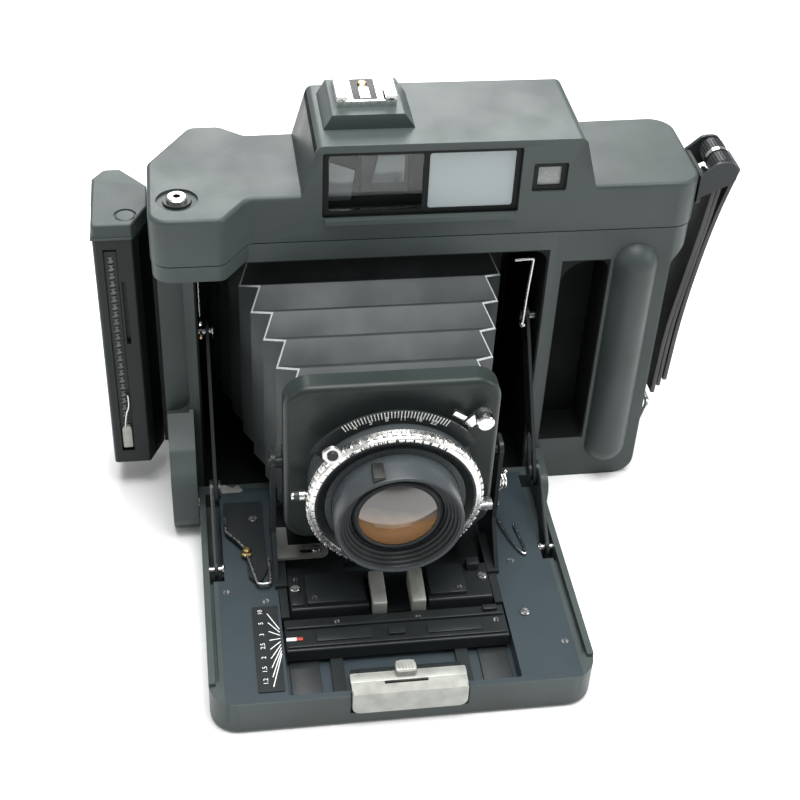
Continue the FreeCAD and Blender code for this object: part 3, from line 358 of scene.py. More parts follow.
def webbing():
    """Black leather-faced strap with a fine pebble."""
    mat, tree, bsdf = shader("strap_leather", (0.012, 0.013, 0.013), 0.5)
    place = coords(tree)
    cells = add_node(tree, "ShaderNodeTexVoronoi", {"Scale": 900.0, "Vector": place})
    bump(tree, bsdf, cells.outputs["Distance"], 0.35, 0.00015)
    tone = ramp(tree, noise(tree, place, 60.0, 4.0), (0.008, 0.009, 0.009), (0.028, 0.03, 0.03))
    # Painted highlight on the strap's proud edges.
    tree.links.new(edge_wear(tree, tone, (0.09, 0.09, 0.085), 0.5), bsdf.inputs["Base Color"])
    return mat


# ------------------------------------------------------------------ mesh helpers
def linked(name, data):
    """A new object in the scene."""
    holder = bpy.data.objects.new(name, data)
    bpy.context.scene.collection.objects.link(holder)
    return holder


def baked(holder, name):
    """The evaluated mesh of a helper object, which goes away."""
    mesh = bpy.data.meshes.new_from_object(holder.evaluated_get(bpy.context.evaluated_depsgraph_get()))
    bpy.data.objects.remove(holder)
    mesh.name = name
    return mesh


def finish_piece(name, mesh, body, material, slot):
    """Links a mesh whose place is in its vertices and lets it ride on a body."""
    piece = linked(name, mesh)
    mesh.materials.clear()
    mesh.materials.append(finish(material))
    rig.ride(piece, body)
    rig.slot(piece, slot)
    return piece


def mesh_from(bm, name, smooth=True, angle=35.0):
    """A cleaned mesh; edges sharper than the angle stay crisp."""
    bmesh.ops.remove_doubles(bm, verts=bm.verts, dist=1e-7)
    bmesh.ops.recalc_face_normals(bm, faces=bm.faces)
    for face in bm.faces:
        face.smooth = smooth
    for edge in bm.edges:
        edge.smooth = len(edge.link_faces) == 2 and edge.calc_face_angle() < math.radians(angle)
    mesh = bpy.data.meshes.new(name)
    bm.to_mesh(mesh)
    bm.free()
    return mesh


def round_edges(bm, width, segments=2, angle=30.0):
    """Bevels every edge sharper than the angle."""
    bmesh.ops.remove_doubles(bm, verts=bm.verts, dist=1e-7)
    bmesh.ops.recalc_face_normals(bm, faces=bm.faces)
    sharp = [e for e in bm.edges if len(e.link_faces) == 2 and e.calc_face_angle() > math.radians(angle)]
    bmesh.ops.bevel(bm, geom=sharp, offset=width, segments=segments, profile=0.6, affect="EDGES",
                    clamp_overlap=True)


def add_prism(bm, outline, plane, low, high):
    """Extrudes an outline of (u, v) in millimetres between two depths."""
    def put(u, v, depth):
        return {"xy": at(u, v, depth), "xz": at(u, depth, v), "yz": at(depth, u, v)}[plane]
    bottom = [bm.verts.new(put(u, v, low)) for u, v in outline]
    top = [bm.verts.new(put(u, v, high)) for u, v in outline]
    count = len(outline)
    faces = [bm.faces.new(bottom), bm.faces.new(top)]
    for i in range(count):
        j = (i + 1) % count
        faces.append(bm.faces.new((bottom[i], bottom[j], top[j], top[i])))
    return faces


def prism(name, outline, plane, low, high, body, material, slot, edge=0.25, segments=2):
    bm = bmesh.new()
    add_prism(bm, outline, plane, low, high)
    round_edges(bm, edge * MM, segments)
    return finish_piece(name, mesh_from(bm, name), body, material, slot)


def prisms(plane, body, material, slot, *rows):
    """Prisms of one plane, body and finish, from rows of (name, outline, low, high, edge)."""
    for name, outline, low, high, edge in rows:
        prism(name, outline, plane, low, high, body, material, slot, edge)


def rectangle(u0, u1, v0, v1):
    return [(u0, v0), (u1, v0), (u1, v1), (u0, v1)]


def turned(name, profile, centre, axis, body, material, slot, steps=64, closed=True, angle=30.0):
    """Turns a profile of (radius, height) in millimetres about an axis through centre."""
    bm = bmesh.new()
    side = UP if abs(axis.z) < 0.5 else Vector((1, 0, 0))
    other = axis.cross(side)
    rings = []
    for radius, height in profile:
        spot = centre + axis * height * MM
        if radius < 1e-6:
            rings.append([bm.verts.new(spot)])
            continue
        turns = [2 * math.pi * i / steps for i in range(steps)]
        rings.append([bm.verts.new(spot + (side * math.cos(t) + other * math.sin(t)) * radius * MM)
                      for t in turns])
    pairs = list(zip(rings, rings[1:]))
    if closed:
        pairs.append((rings[-1], rings[0]))
    for a, b in pairs:
        for i in range(steps):
            j = (i + 1) % steps
            corners = [a[i % len(a)], a[j % len(a)], b[j % len(b)], b[i % len(b)]]
            unique = list(dict.fromkeys(corners))
            if len(unique) > 2:
                bm.faces.new(unique)
    return finish_piece(name, mesh_from(bm, name, angle=angle), body, material, slot)


def spun(name, profile, spot, axis, body, material, slot, steps=28):
    """A solid turned piece whose profile begins and ends on its axis."""
    return turned(name, profile, at(*spot), axis, body, material, slot, steps, closed=False)


def wire(name, points, radius, body, material, slot, cyclic=False, order=3):
    """Round wire along a smooth curve through millimetre points."""
    curve = bpy.data.curves.new(name, "CURVE")
    curve.dimensions = "3D"
    curve.bevel_depth = radius * MM
    curve.bevel_resolution = 4
    curve.resolution_u = 8
    curve.use_fill_caps = True
    line = curve.splines.new("NURBS")
    line.points.add(len(points) - 1)
    for point, spot in zip(line.points, points):
        point.co = (*at(*spot), 1)
    line.order_u = order
    line.use_endpoint_u = not cyclic
    line.use_cyclic_u = cyclic
    mesh = baked(linked(name + "_path", curve), name)
    for face in mesh.polygons:
        face.use_smooth = True
    return finish_piece(name, mesh, body, material, slot)


# ------------------------------------------------------------------ geometry nodes
def node_group(name, inputs):
    """A geometry tree with named inputs and a Geometry output; returns the tree, its input and output."""
    tree = bpy.data.node_groups.new(name, "GeometryNodeTree")
    tree.interface.new_socket("Geometry", in_out="INPUT", socket_type="NodeSocketGeometry")
    for label, kind, default in inputs + [("Material", "Material", None)]:
        socket = tree.interface.new_socket(label, in_out="INPUT", socket_type="NodeSocket" + kind)
        if default is not None:
            socket.default_value = default
    tree.interface.new_socket("Geometry", in_out="OUTPUT", socket_type="NodeSocketGeometry")
    return tree, tree.nodes.new("NodeGroupInput").outputs, tree.nodes.new("NodeGroupOutput")


def close_tree(tree, given, out, points, **turned_by):
    """Lays the incoming mesh on the points, makes the copies real and gives them the material."""
    lay = add_node(tree, "GeometryNodeInstanceOnPoints", {"Points": points, "Instance": given["Geometry"],
                                                          **turned_by})
    real = add_node(tree, "GeometryNodeRealizeInstances", {0: lay.outputs[0]})
    paint = add_node(tree, "GeometryNodeSetMaterial", {"Geometry": real.outputs[0],
                                                       "Material": given["Material"]})
    tree.links.new(paint.outputs[0], out.inputs[0])
    return tree


def ring_tree():
    """Copies of the incoming mesh spaced round the Y axis over an arc."""
    tree, given, out = node_group("copies_round_axis", [
        ("Count", "Int", 12), ("Radius", "Float", 0.01), ("Start", "Float", 0.0),
        ("Sweep", "Float", 2 * math.pi)])
    line = add_node(tree, "GeometryNodeMeshLine", {"Count": given["Count"]})
    index = tree.nodes.new("GeometryNodeInputIndex").outputs[0]
    step = math_node(tree, "DIVIDE", given["Sweep"], given["Count"])
    turn = math_node(tree, "MULTIPLY_ADD", index, step, given["Start"])
    across, up = (math_node(tree, "MULTIPLY", math_node(tree, wave, turn), given["Radius"])
                  for wave in ("COSINE", "SINE"))
    spot = add_node(tree, "ShaderNodeCombineXYZ", {"X": across, "Z": up})
    place = add_node(tree, "GeometryNodeSetPosition", {"Geometry": line.outputs[0],
                                                       "Position": spot.outputs[0]})
    spin = add_node(tree, "ShaderNodeCombineXYZ", {"Y": math_node(tree, "MULTIPLY", turn, -1.0)})
    return close_tree(tree, given, out, place.outputs[0], Rotation=spin.outputs[0])


def row_tree():
    """Copies of the incoming mesh along a straight line."""
    tree, given, out = node_group("copies_in_a_row", [("Count", "Int", 10),
                                                      ("Pitch", "Vector", (0.0, 0.0, 0.002))])
    line = add_node(tree, "GeometryNodeMeshLine", {"Count": given["Count"], "Offset": given["Pitch"]})
    return close_tree(tree, given, out, line.outputs[0])


def point_tree():
    """A copy of the incoming mesh at each vertex of a holder object."""
    tree, given, out = node_group("copies_at_points", [("Points", "Object", None)])
    info = add_node(tree, "GeometryNodeObjectInfo", {"Object": given["Points"]})
    return close_tree(tree, given, out, info.outputs["Geometry"])


TREES = {}


def grown(name, bm, tree_key, values, shift, body, material, slot):
    """Runs a tree on a seed mesh, bakes the result, moves it by shift and lets it ride."""
    makers = {"ring": ring_tree, "row": row_tree, "points": point_tree}
    if tree_key not in TREES:
        TREES[tree_key] = makers[tree_key]()
    tree = TREES[tree_key]
    seed = linked(name + "_seed", mesh_from(bm, name + "_seed"))
    seed.data.materials.append(finish(material))
    modifier = seed.modifiers.new("grow", "NODES")
    modifier.node_group = tree
    ids = {s.name: s.identifier for s in tree.interface.items_tree if s.in_out == "INPUT"}
    for label, value in {**values, "Material": finish(material)}.items():
        modifier[ids[label]] = value
    bpy.context.view_layer.update()
    mesh = baked(seed, name)
    mesh.transform(Matrix.Translation(shift))
    return finish_piece(name, mesh, body, material, slot)


def round_lens(name, seed, radius, spot_y, count, start, sweep, body, material, slot="dark"):
    """Copies of a seed on an arc about the lens axis; the angles are in degrees."""
    return grown(name, seed, "ring", {"Count": count, "Radius": radius * MM, "Start": math.radians(start),
                                      "Sweep": math.radians(sweep)}, at(0, spot_y, 60), body, material, slot)


def seed_prism(outline, plane, low, high, edge):
    """A small bevelled prism round the origin, in millimetres."""
    bm = bmesh.new()
    add_prism(bm, outline, plane, low, high)
    bmesh.ops.translate(bm, verts=bm.verts, vec=-at(0, 0, 0))
    if edge:
        round_edges(bm, edge * MM, 1)
    return bm


FONT_SCALE = 1.35       # size of the font over the height of its figures
FIGURE_RISE = 0.04      # millimetres


def lettering(name, labels, height, body, material, slot):
    """Flat figures as one mesh; each label is (text, centre, reading direction, up)."""
    bm = bmesh.new()
    for text, spot, along, up in labels:
        curve = bpy.data.curves.new(name, "FONT")
        curve.body = text
        curve.align_x, curve.align_y = "CENTER", "CENTER"
        curve.size = height * MM * FONT_SCALE
        curve.extrude = FIGURE_RISE * MM
        curve.resolution_u = 3
        mesh = baked(linked(name + "_text", curve), name + "_text")
        turn = Matrix((along, up, along.cross(up))).transposed().to_4x4()
        mesh.transform(Matrix.Translation(spot) @ turn)
        bm.from_mesh(mesh)
        bpy.data.meshes.remove(mesh)
    return finish_piece(name, mesh_from(bm, name, smooth=False), body, material, slot)


SCREW_SLOT = 0.18       # half width of a screw's slot, as a share of the head's radius
SCREW_HEIGHT = 0.35     # height of the head, as a share of its radius


def screws(name, spots, radius, body):
    """Slotted screw heads, facing up, at millimetre points."""
    holder = linked(name + "_spots", bpy.data.meshes.new(name + "_spots"))
    holder.data.from_pydata([at(*spot) for spot in spots], [], [])
    bm = bmesh.new()
    slot_half = SCREW_SLOT * radius
    for low, high in ((-radius, -slot_half), (slot_half, radius)):
        start, stop = math.acos(low / radius), math.acos(high / radius)
        turns = [start + (stop - start) * i / 8 for i in range(9)]
        half = [(radius * math.cos(t), radius * math.sin(t)) for t in turns]
        mirrored = half[1:-1] if low == -radius else half
        add_prism(bm, half + [(u, -v) for u, v in reversed(mirrored)], "xy", 0, SCREW_HEIGHT * radius)
    bmesh.ops.translate(bm, verts=bm.verts, vec=-at(0, 0, 0))
    piece = grown(name, bm, "points", {"Points": holder}, Vector(), body, "silver", "silver")
    bpy.data.objects.remove(holder)
    return piece


# ------------------------------------------------------------------ settings
def tint(name, description, default):
    return bpy.props.FloatVectorProperty(name=name, description=description, subtype="COLOR", size=3,
                                         min=0, max=1, default=default)


def count(name, description, default, low, high):
    return bpy.props.IntProperty(name=name, description=description, default=default, min=low, max=high)


def length(name, description, default, low, high):
    return bpy.props.FloatProperty(name=name, description=description, default=default, min=low, max=high,
                                   unit="LENGTH")


class CameraFinish(bpy.types.PropertyGroup):
    """Colours and gloss of the camera's finishes."""
    body: tint("Body", "Moulded body plastic", (0.044, 0.056, 0.054))
    body_gloss: bpy.props.FloatProperty(name="Body roughness", description="Roughness of the body plastic",
                                        default=0.40, min=0, max=1, subtype="FACTOR")
    deck: tint("Deck", "Painted deck of the bed", (0.036, 0.050, 0.058))
    # The inside colour also serves as painted shade in the finger recess and beside the roller door.
    dark: tint("Inside", "Black paint inside", (0.0035, 0.0055, 0.005))
    amber: tint("Lens coating", "Tint of the front lens", (0.30, 0.155, 0.065))


class CameraSizes(bpy.types.PropertyGroup):
    """Sizes of the pieces that are made here."""
    folds: count("Bellows folds", "Crests along the bellows", 7, 3, 16)
    fold_depth: length("Fold depth", "Depth of a bellows fold", 0.0052, 0.001, 0.01)
    ring_notches: count("Ring notches", "Notches round the speed ring", 60, 12, 120)
    strip_teeth: count("Strip teeth", "Teeth of the door's strip", 25, 5, 60)
    roller_ribs: count("Roller ribs", "Knurls round the strap roller", 26, 8, 60)
    floor_size: length("Floor size", "Width of the studio floor", 4.0, 1.0, 10.0)


MATS = {}
# Boxes, as (x, y, z) ranges in millimetres from the cover's front, where a piece has a second colour:
# the bed chamber and the finder's inside in dark; painted shade in the finger recess and on the side beside
# the roller door; painted shade over the roller door below its cap; the bed's deck.
INSIDE = [((-64.3, 64.3), (-9.0, 60.0), (2.2, 112.0)), ((69.3, 87.6), (-2.0, 60.0), (20.5, 106.8)),
          ((-21.5, 50.5), (1.0, 60.0), (127.0, 156.0)), ((-101.0, -99.5), (-9.0, 60.0), (2.2, 112.0))]
DOOR_BOX = [((-98.3, -79.0), (9.0, 47.0), (12.0, 116.8))]
DECK_BOX = [((-61.3, 61.3), (-116.4, -8.0), (5.0, 15.4))]


def two_tone(name, grain, boxes, colour, dulling):
    """The body plastic with a second colour inside the boxes; in the finger recess and at the roller door this colour
    is painted shade.
    """
    settings = bpy.context.scene.camera_finish
    return black_inside(moulded_plastic(name, tuple(settings.body), settings.body_gloss, grain), boxes,
                        tuple(colour), dulling)


def finish(name):
    """A finish by name, made once from the settings."""
    if name in MATS:
        return MATS[name]
    settings = bpy.context.scene.camera_finish
    makers = {
        # Body: dark in the bed chamber and the finder's inside; painted shade in the finger recess and beside the
        # roller door.
        "body": (two_tone, "body_plastic", 0.35, INSIDE, settings.dark, 0.45),
        # Door: painted shade over the roller door below its cap.
        "door": (two_tone, "door_plastic", 0.35, DOOR_BOX, (0.011, 0.016, 0.015), 0.0),
        "tray": (two_tone, "bed_paint", 0.3, DECK_BOX, settings.deck, 0.0),
        "lens_board": (moulded_plastic, "lens_board_plastic", (0.021, 0.029, 0.027), 0.36, 0.3),
        "inside": (moulded_plastic, "inside_paint", tuple(settings.dark), 0.55, 0.25),
        "black_metal": (moulded_plastic, "black_enamel", (0.016, 0.019, 0.020), 0.32, 0.12, 700.0),
        "barrel": (moulded_plastic, "barrel_anodised", (0.040, 0.047, 0.050), 0.28, 0.10, 1200.0),
        "black_part": (moulded_plastic, "black_trim", (0.020, 0.024, 0.024), 0.35, 0.15, 900.0),
        "silver": (bare_metal, "satin_chrome", (0.80, 0.80, 0.78), 0.26),
        "bright": (bare_metal, "bright_chrome", (0.92, 0.92, 0.90), 0.12),
        "aluminium": (bare_metal, "brushed_aluminium", (0.72, 0.72, 0.70), 0.36, (1, 12, 12)),
        "steel": (bare_metal, "spring_steel", (0.56, 0.56, 0.55), 0.28),
        "brass": (bare_metal, "aged_brass", (0.62, 0.45, 0.20), 0.32),
        "pale": (cast_alloy, "cast_alloy", (0.36, 0.37, 0.34), 0.42),
        "steel_dull": (cast_alloy, "dull_steel", (0.10, 0.11, 0.108), 0.45),
        "amber": (coated_lens, tuple(settings.amber)),
        "clear": (glass, "window_glass", (0.93, 0.97, 0.97), 0.02, 0.5, 1.0, 1.2),
        "frosted": (glass, "frosted_glass", (0.42, 0.48, 0.49), 0.45, 0.3, 0.2),
        "grey_glass": (glass, "grey_glass", (0.16, 0.18, 0.19), 0.12, 0.6, 0.3),
        "bellows": (bellows_cloth,),
        "strap": (webbing,),
        "white": (painted_mark, "white_paint", (0.85, 0.86, 0.84)),
        "grey_mark": (painted_mark, "grey_paint", (0.30, 0.32, 0.31)),
        "black_mark": (painted_mark, "black_paint", (0.006, 0.006, 0.006)),
        # Painted highlight on the bellows' corner chamfers.
        "painted_fold_corner_highlight": (painted_mark, "bellows_corner", (0.42, 0.45, 0.45), 0.4),
        "red": (painted_mark, "red_paint", (0.45, 0.05, 0.03)),
    }
    maker, *values = makers[name]
    MATS[name] = maker(*values)
    return MATS[name]


# ------------------------------------------------------------------ operators
class CAMERA_OT_dress_frame(bpy.types.Operator):
    """Gives every kept CAD node its finished material"""
    bl_idname = "camera.dress_frame"
    bl_label = "Dress frame"

    PLAN = {
        "body": "body_shell grip_shell top_cover back_door",
        "door": "roller_door_shell",
        "tray": "bed_tray",
        "lens_board": "lens_housing",
        "inside": "film_frame finder_frames shutter_blades pressure_plate bellows_front_frame",
        "black_metal": "focus_rails distance_scale catch_plate carriage_base rear_cross_bar "
                       "front_cross_bar upright_left upright_right brace_upper_left brace_upper_right "
                       "brace_lower_left brace_lower_right aperture_scale",
        "barrel": "shutter_case lens_barrel",
        "black_part": "release_collar strap_bracket release_button",
        "silver": "hot_shoe cocking_lever release_lever strap_ring",
        "pale": "bed_latch slotted_bracket finger_grip_left finger_grip_right",
        "aluminium": "speed_ring aperture_lever strap_roller",
        "steel": "hinge_pins brace_studs bed_screws bed_studs carriage_screws catch_spring "
                 "torsion_spring roller_front roller_rear",
        "brass": "camera_bush",
        "amber": "front_lens rear_lens",
        "clear": "finder_window rangefinder_window finder_lens eyepiece",
        "frosted": "frosted_window",
        "bellows": "bellows",
        "strap": "hand_strap",
    }

    def execute(self, context):
        for key, names in self.PLAN.items():
            for name in names.split():
                slots = NODES[name].data.materials
                slots.clear()
                slots.append(finish(key))
        return {"FINISHED"}


class CAMERA_OT_make_bellows(bpy.types.Operator):
    """Makes the folded bellows with offset crests that zigzag at the corners"""
    bl_idname = "camera.make_bellows"
    bl_label = "Make bellows"

    FRONT_RING = (34.5, 26.0, 97.0)     # half width, lower edge, upper edge
    REAR_RING = (58.5, 20.0, 108.5)
    FRONT_Y, REAR_Y = -50.5, 48.2
    CORNER_CUT = 0.8
    CLOTH = 0.9
    FLAT_SHARE = 0.07                   # depth that is left when the bed is shut

    def section(self, share, y, tuck_side, tuck_top):
        """Eight corner points of one ring, each corner chamfered."""
        half, low, high = (a + (b - a) * share for a, b in zip(self.FRONT_RING, self.REAR_RING))
        half -= tuck_side
        low += tuck_top
        high -= tuck_top
        cut = self.CORNER_CUT
        return [at(*p) for p in (
            (-half + cut, y, high), (half - cut, y, high), (half, y, high - cut), (half, y, low + cut),
            (half - cut, y, low), (-half + cut, y, low), (-half, y, low + cut), (-half, y, high - cut))]

    def execute(self, context):
        sizes = context.scene.camera_sizes
        depth = sizes.fold_depth / MM
        steps = sizes.folds * 2
        bm = bmesh.new()
        rings = []
        for i in range(steps + 1):
            share = i / steps
            y = self.FRONT_Y + (self.REAR_Y - self.FRONT_Y) * share
            crest = i % 2
            loop = self.section(share, y, depth * crest, depth * (1 - crest))
            rings.append([bm.verts.new(p) for p in loop])
        for a, b in zip(rings, rings[1:]):
            for j in range(8):
                k = (j + 1) % 8
                bm.faces.new((a[j], b[j], b[k], a[k]))
        bmesh.ops.recalc_face_normals(bm, faces=bm.faces)
        mesh = bpy.data.meshes.new("bellows_skin")
        bm.to_mesh(mesh)
        bm.free()
        piece = finish_piece("bellows_skin", mesh, "standard", "bellows", "bellows")
        # Painted highlight: the corner chamfer faces take the light grey finish.
        mesh.materials.append(finish("painted_fold_corner_highlight"))
        for index, polygon in enumerate(mesh.polygons):
            polygon.material_index = (index % 8) % 2
        for kind, values in (("SOLIDIFY", {"thickness": self.CLOTH * MM, "offset": -1.0}),
                             ("BEVEL", {"width": 0.45 * MM, "segments": 2, "limit_method": "ANGLE",
                                        "angle_limit": math.radians(12)})):
            modifier = piece.modifiers.new(kind.lower(), kind)
            for label, value in values.items():
                setattr(modifier, label, value)
        for polygon in mesh.polygons:
            polygon.use_smooth = True
        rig.replaces(piece, "bellows")
        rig.squash(piece, "bed_fold", axis=(0, 1, 0), anchor=tuple(at(0, -49.5, 60)), keep=self.FLAT_SHARE)
        return {"FINISHED"}


class CAMERA_OT_make_lens(bpy.types.Operator):
    """Makes the barrel, the coated lens, the notched speed ring and its scales"""
    bl_idname = "camera.make_lens"
    bl_label = "Make lens"

    DIAL_RADIUS = 28.4
    THROAT_STEP = 1.25

    def execute(self, context):
        self.barrel()
        self.ring(context.scene.camera_sizes.ring_notches)
        self.scales()
        self.small_parts()
        return {"FINISHED"}

    def barrel(self):
        """Barrel with a rolled lip and a stepped, ridged throat, and the domed front lens."""
        outer = [(20.4, 68.7), (22.0, 68.7), (22.0, 83.2), (21.75, 83.75), (21.2, 83.95), (20.6, 83.7),
                 (20.4, 83.0)]
        piece = turned("lens_barrel_turned", outer, LENS_CENTRE, FORWARD, "standard", "barrel", "dark", 96,
                       angle=40)
        throat = [(15.6, 70.0), (20.45, 70.0), (20.45, 83.1)]
        for i in range(4):
            radius, drop = 19.9 - i * 1.0, i * self.THROAT_STEP
            throat += [(radius, 83.0 - drop), (radius - 0.15, 82.7 - drop), (radius - 0.25, 81.9 - drop)]
        throat += [(16.1, 78.2), (15.75, 77.8), (15.6, 77.2)]
        turned("lens_barrel_throat", throat, LENS_CENTRE, FORWARD, "standard", "black_metal", "dark", 96,
               angle=40)
        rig.replaces(piece, "lens_barrel")
        dome = [(0.0, 81.2)] + [(r, 81.2 - r * r / 66.0) for r in (2, 4, 6, 8, 10, 12, 13.5, 14.8, 15.5)]
        dome += [(15.5, 76.4), (0.0, 76.4)]
        front = turned("front_lens_glass", dome, LENS_CENTRE, FORWARD, "standard", "amber", "glass", 72,
                       closed=False, angle=50)
        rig.replaces(front, "front_lens")
        lip = [(13.6, 78.7), (15.5, 78.0), (15.58, 77.2), (15.2, 78.6), (14.4, 79.0)]
        turned("lens_retaining_ring", lip, LENS_CENTRE, FORWARD, "standard", "black_metal", "dark", 72)
        prism("barrel_index", rectangle(-9.6, -5.6, 79.4, 82.2), "xz", -83.0, -75.5, "standard",
              "black_mark", "dark", 0.4)

    def ring(self, notches):
        """Notched ring round the shutter and the bevelled face inside it."""
        profile = [(24.6, 68.7), (30.2, 68.7), (30.2, 70.2), (30.0, 71.2), (29.4, 72.4), (28.9, 72.65),
                   (27.9, 72.65), (27.4, 72.2), (24.6, 70.4)]
        piece = turned("speed_ring_turned", profile, LENS_CENTRE, FORWARD, "speed_ring", "silver",
                       "aluminium", 96, angle=28)
        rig.replaces(piece, "speed_ring")
        notch = seed_prism([(-0.55, -1.15), (0.25, -1.0), (0.25, 1.0), (-0.55, 1.15)], "xz", -1.2, 1.2, 0.15)
        round_lens("speed_ring_notches", notch, 30.3, -70.6, notches, math.degrees(0.05), 360,
                   "speed_ring", "silver", "aluminium")
        mark = seed_prism(rectangle(-0.45, 0.45, -0.16, 0.16), "xz", -0.06, 0.06, 0)
        round_lens("speed_ring_marks", mark, self.DIAL_RADIUS, -72.62, 22, 100, 150, "speed_ring",
                   "black_mark")
        inner = [(22.1, 68.2), (24.4, 68.2), (27.45, 70.6), (27.45, 72.3), (27.1, 72.4), (22.1, 69.6)]
        turned("shutter_face_ring", inner, LENS_CENTRE, FORWARD, "standard", "black_metal", "dark", 96)

    @staticmethod
    def dial(name, texts, first, step, radius, depth, height, body, material):
        """Figures on an arc about the lens axis, read from in front."""
        labels = []
        for i, text in enumerate(texts):
            turn = math.radians(first + i * step)
            out = Vector((math.cos(turn), 0, math.sin(turn)))
            spot = LENS_CENTRE + out * radius * MM + Vector((0, -depth * MM, 0))
            labels.append((text, spot, Vector((out.z, 0, -out.x)), out))
        lettering(name, labels, height, body, material, "dark")

    def scales(self):
        """White comb of ticks and the dial numbers above the ring."""
        tick = seed_prism(rectangle(-1.3, 1.3, -0.16, 0.16), "xz", -0.08, 0.08, 0)
        round_lens("aperture_ticks", tick, 33.0, -64.6, 34, 58, 66, "standard", "white")
        short = seed_prism(rectangle(-0.6, 0.6, -0.22, 0.22), "xz", -0.08, 0.08, 0)
        round_lens("speed_ticks", short, self.DIAL_RADIUS, -72.75, 12, 56, 72, "speed_ring", "black_mark")
        self.dial("aperture_numbers", ("22", "16", "11", "8", "5", "4"), 66, 10, 31.4, 64.7, 1.9, "standard",
                  "white")
        self.dial("speed_numbers", ("1", "2", "4", "8", "15", "30", "60"), 58, 11, self.DIAL_RADIUS, 72.8,
                  1.1, "speed_ring", "black_mark")

    @staticmethod
    def small_parts():
        """Lever tips, peg tip and the pieces beside the cocking lever."""
        spun("aperture_lever_dot", [(0, 74.35), (1.7, 74.35), (1.9, 74.6), (1.7, 75.0), (0, 75.05)],
             (-22.2, 0, 85.2), FORWARD, "aperture_lever", "black_mark", "dark", 32)
        tip = [(0, 0), (1.75, 0), (1.85, 0.3), (1.85, 2.2), (1.5, 2.3), (1.5, 4.6), (1.2, 5.0), (0, 5.0)]
        spun("sync_peg_tip", tip, (-30.2, -66, 60.5), Vector((-1, 0, 0)), "standard", "silver", "silver")
        knob = [(0, 63.2), (2.2, 63.2), (3.05, 63.6), (3.05, 66.4), (2.5, 66.95), (0, 67.05)]
        spun("cocking_knob_cap", knob, (30.0, 0, 88.5), FORWARD, "cocking_lever", "bright", "silver", 32)
        prism("cocking_stop", [(19.0, 88.8), (23.4, 86.2), (24.6, 88.2), (20.4, 91.0)], "xz", -62.2, -60.2,
              "standard", "bright", "silver", 0.3)
        prism("release_tab", rectangle(31.5, 36.2, 46.4, 49.6), "xz", -64.6, -60.9, "release_lever",
              "silver", "silver", 0.4)


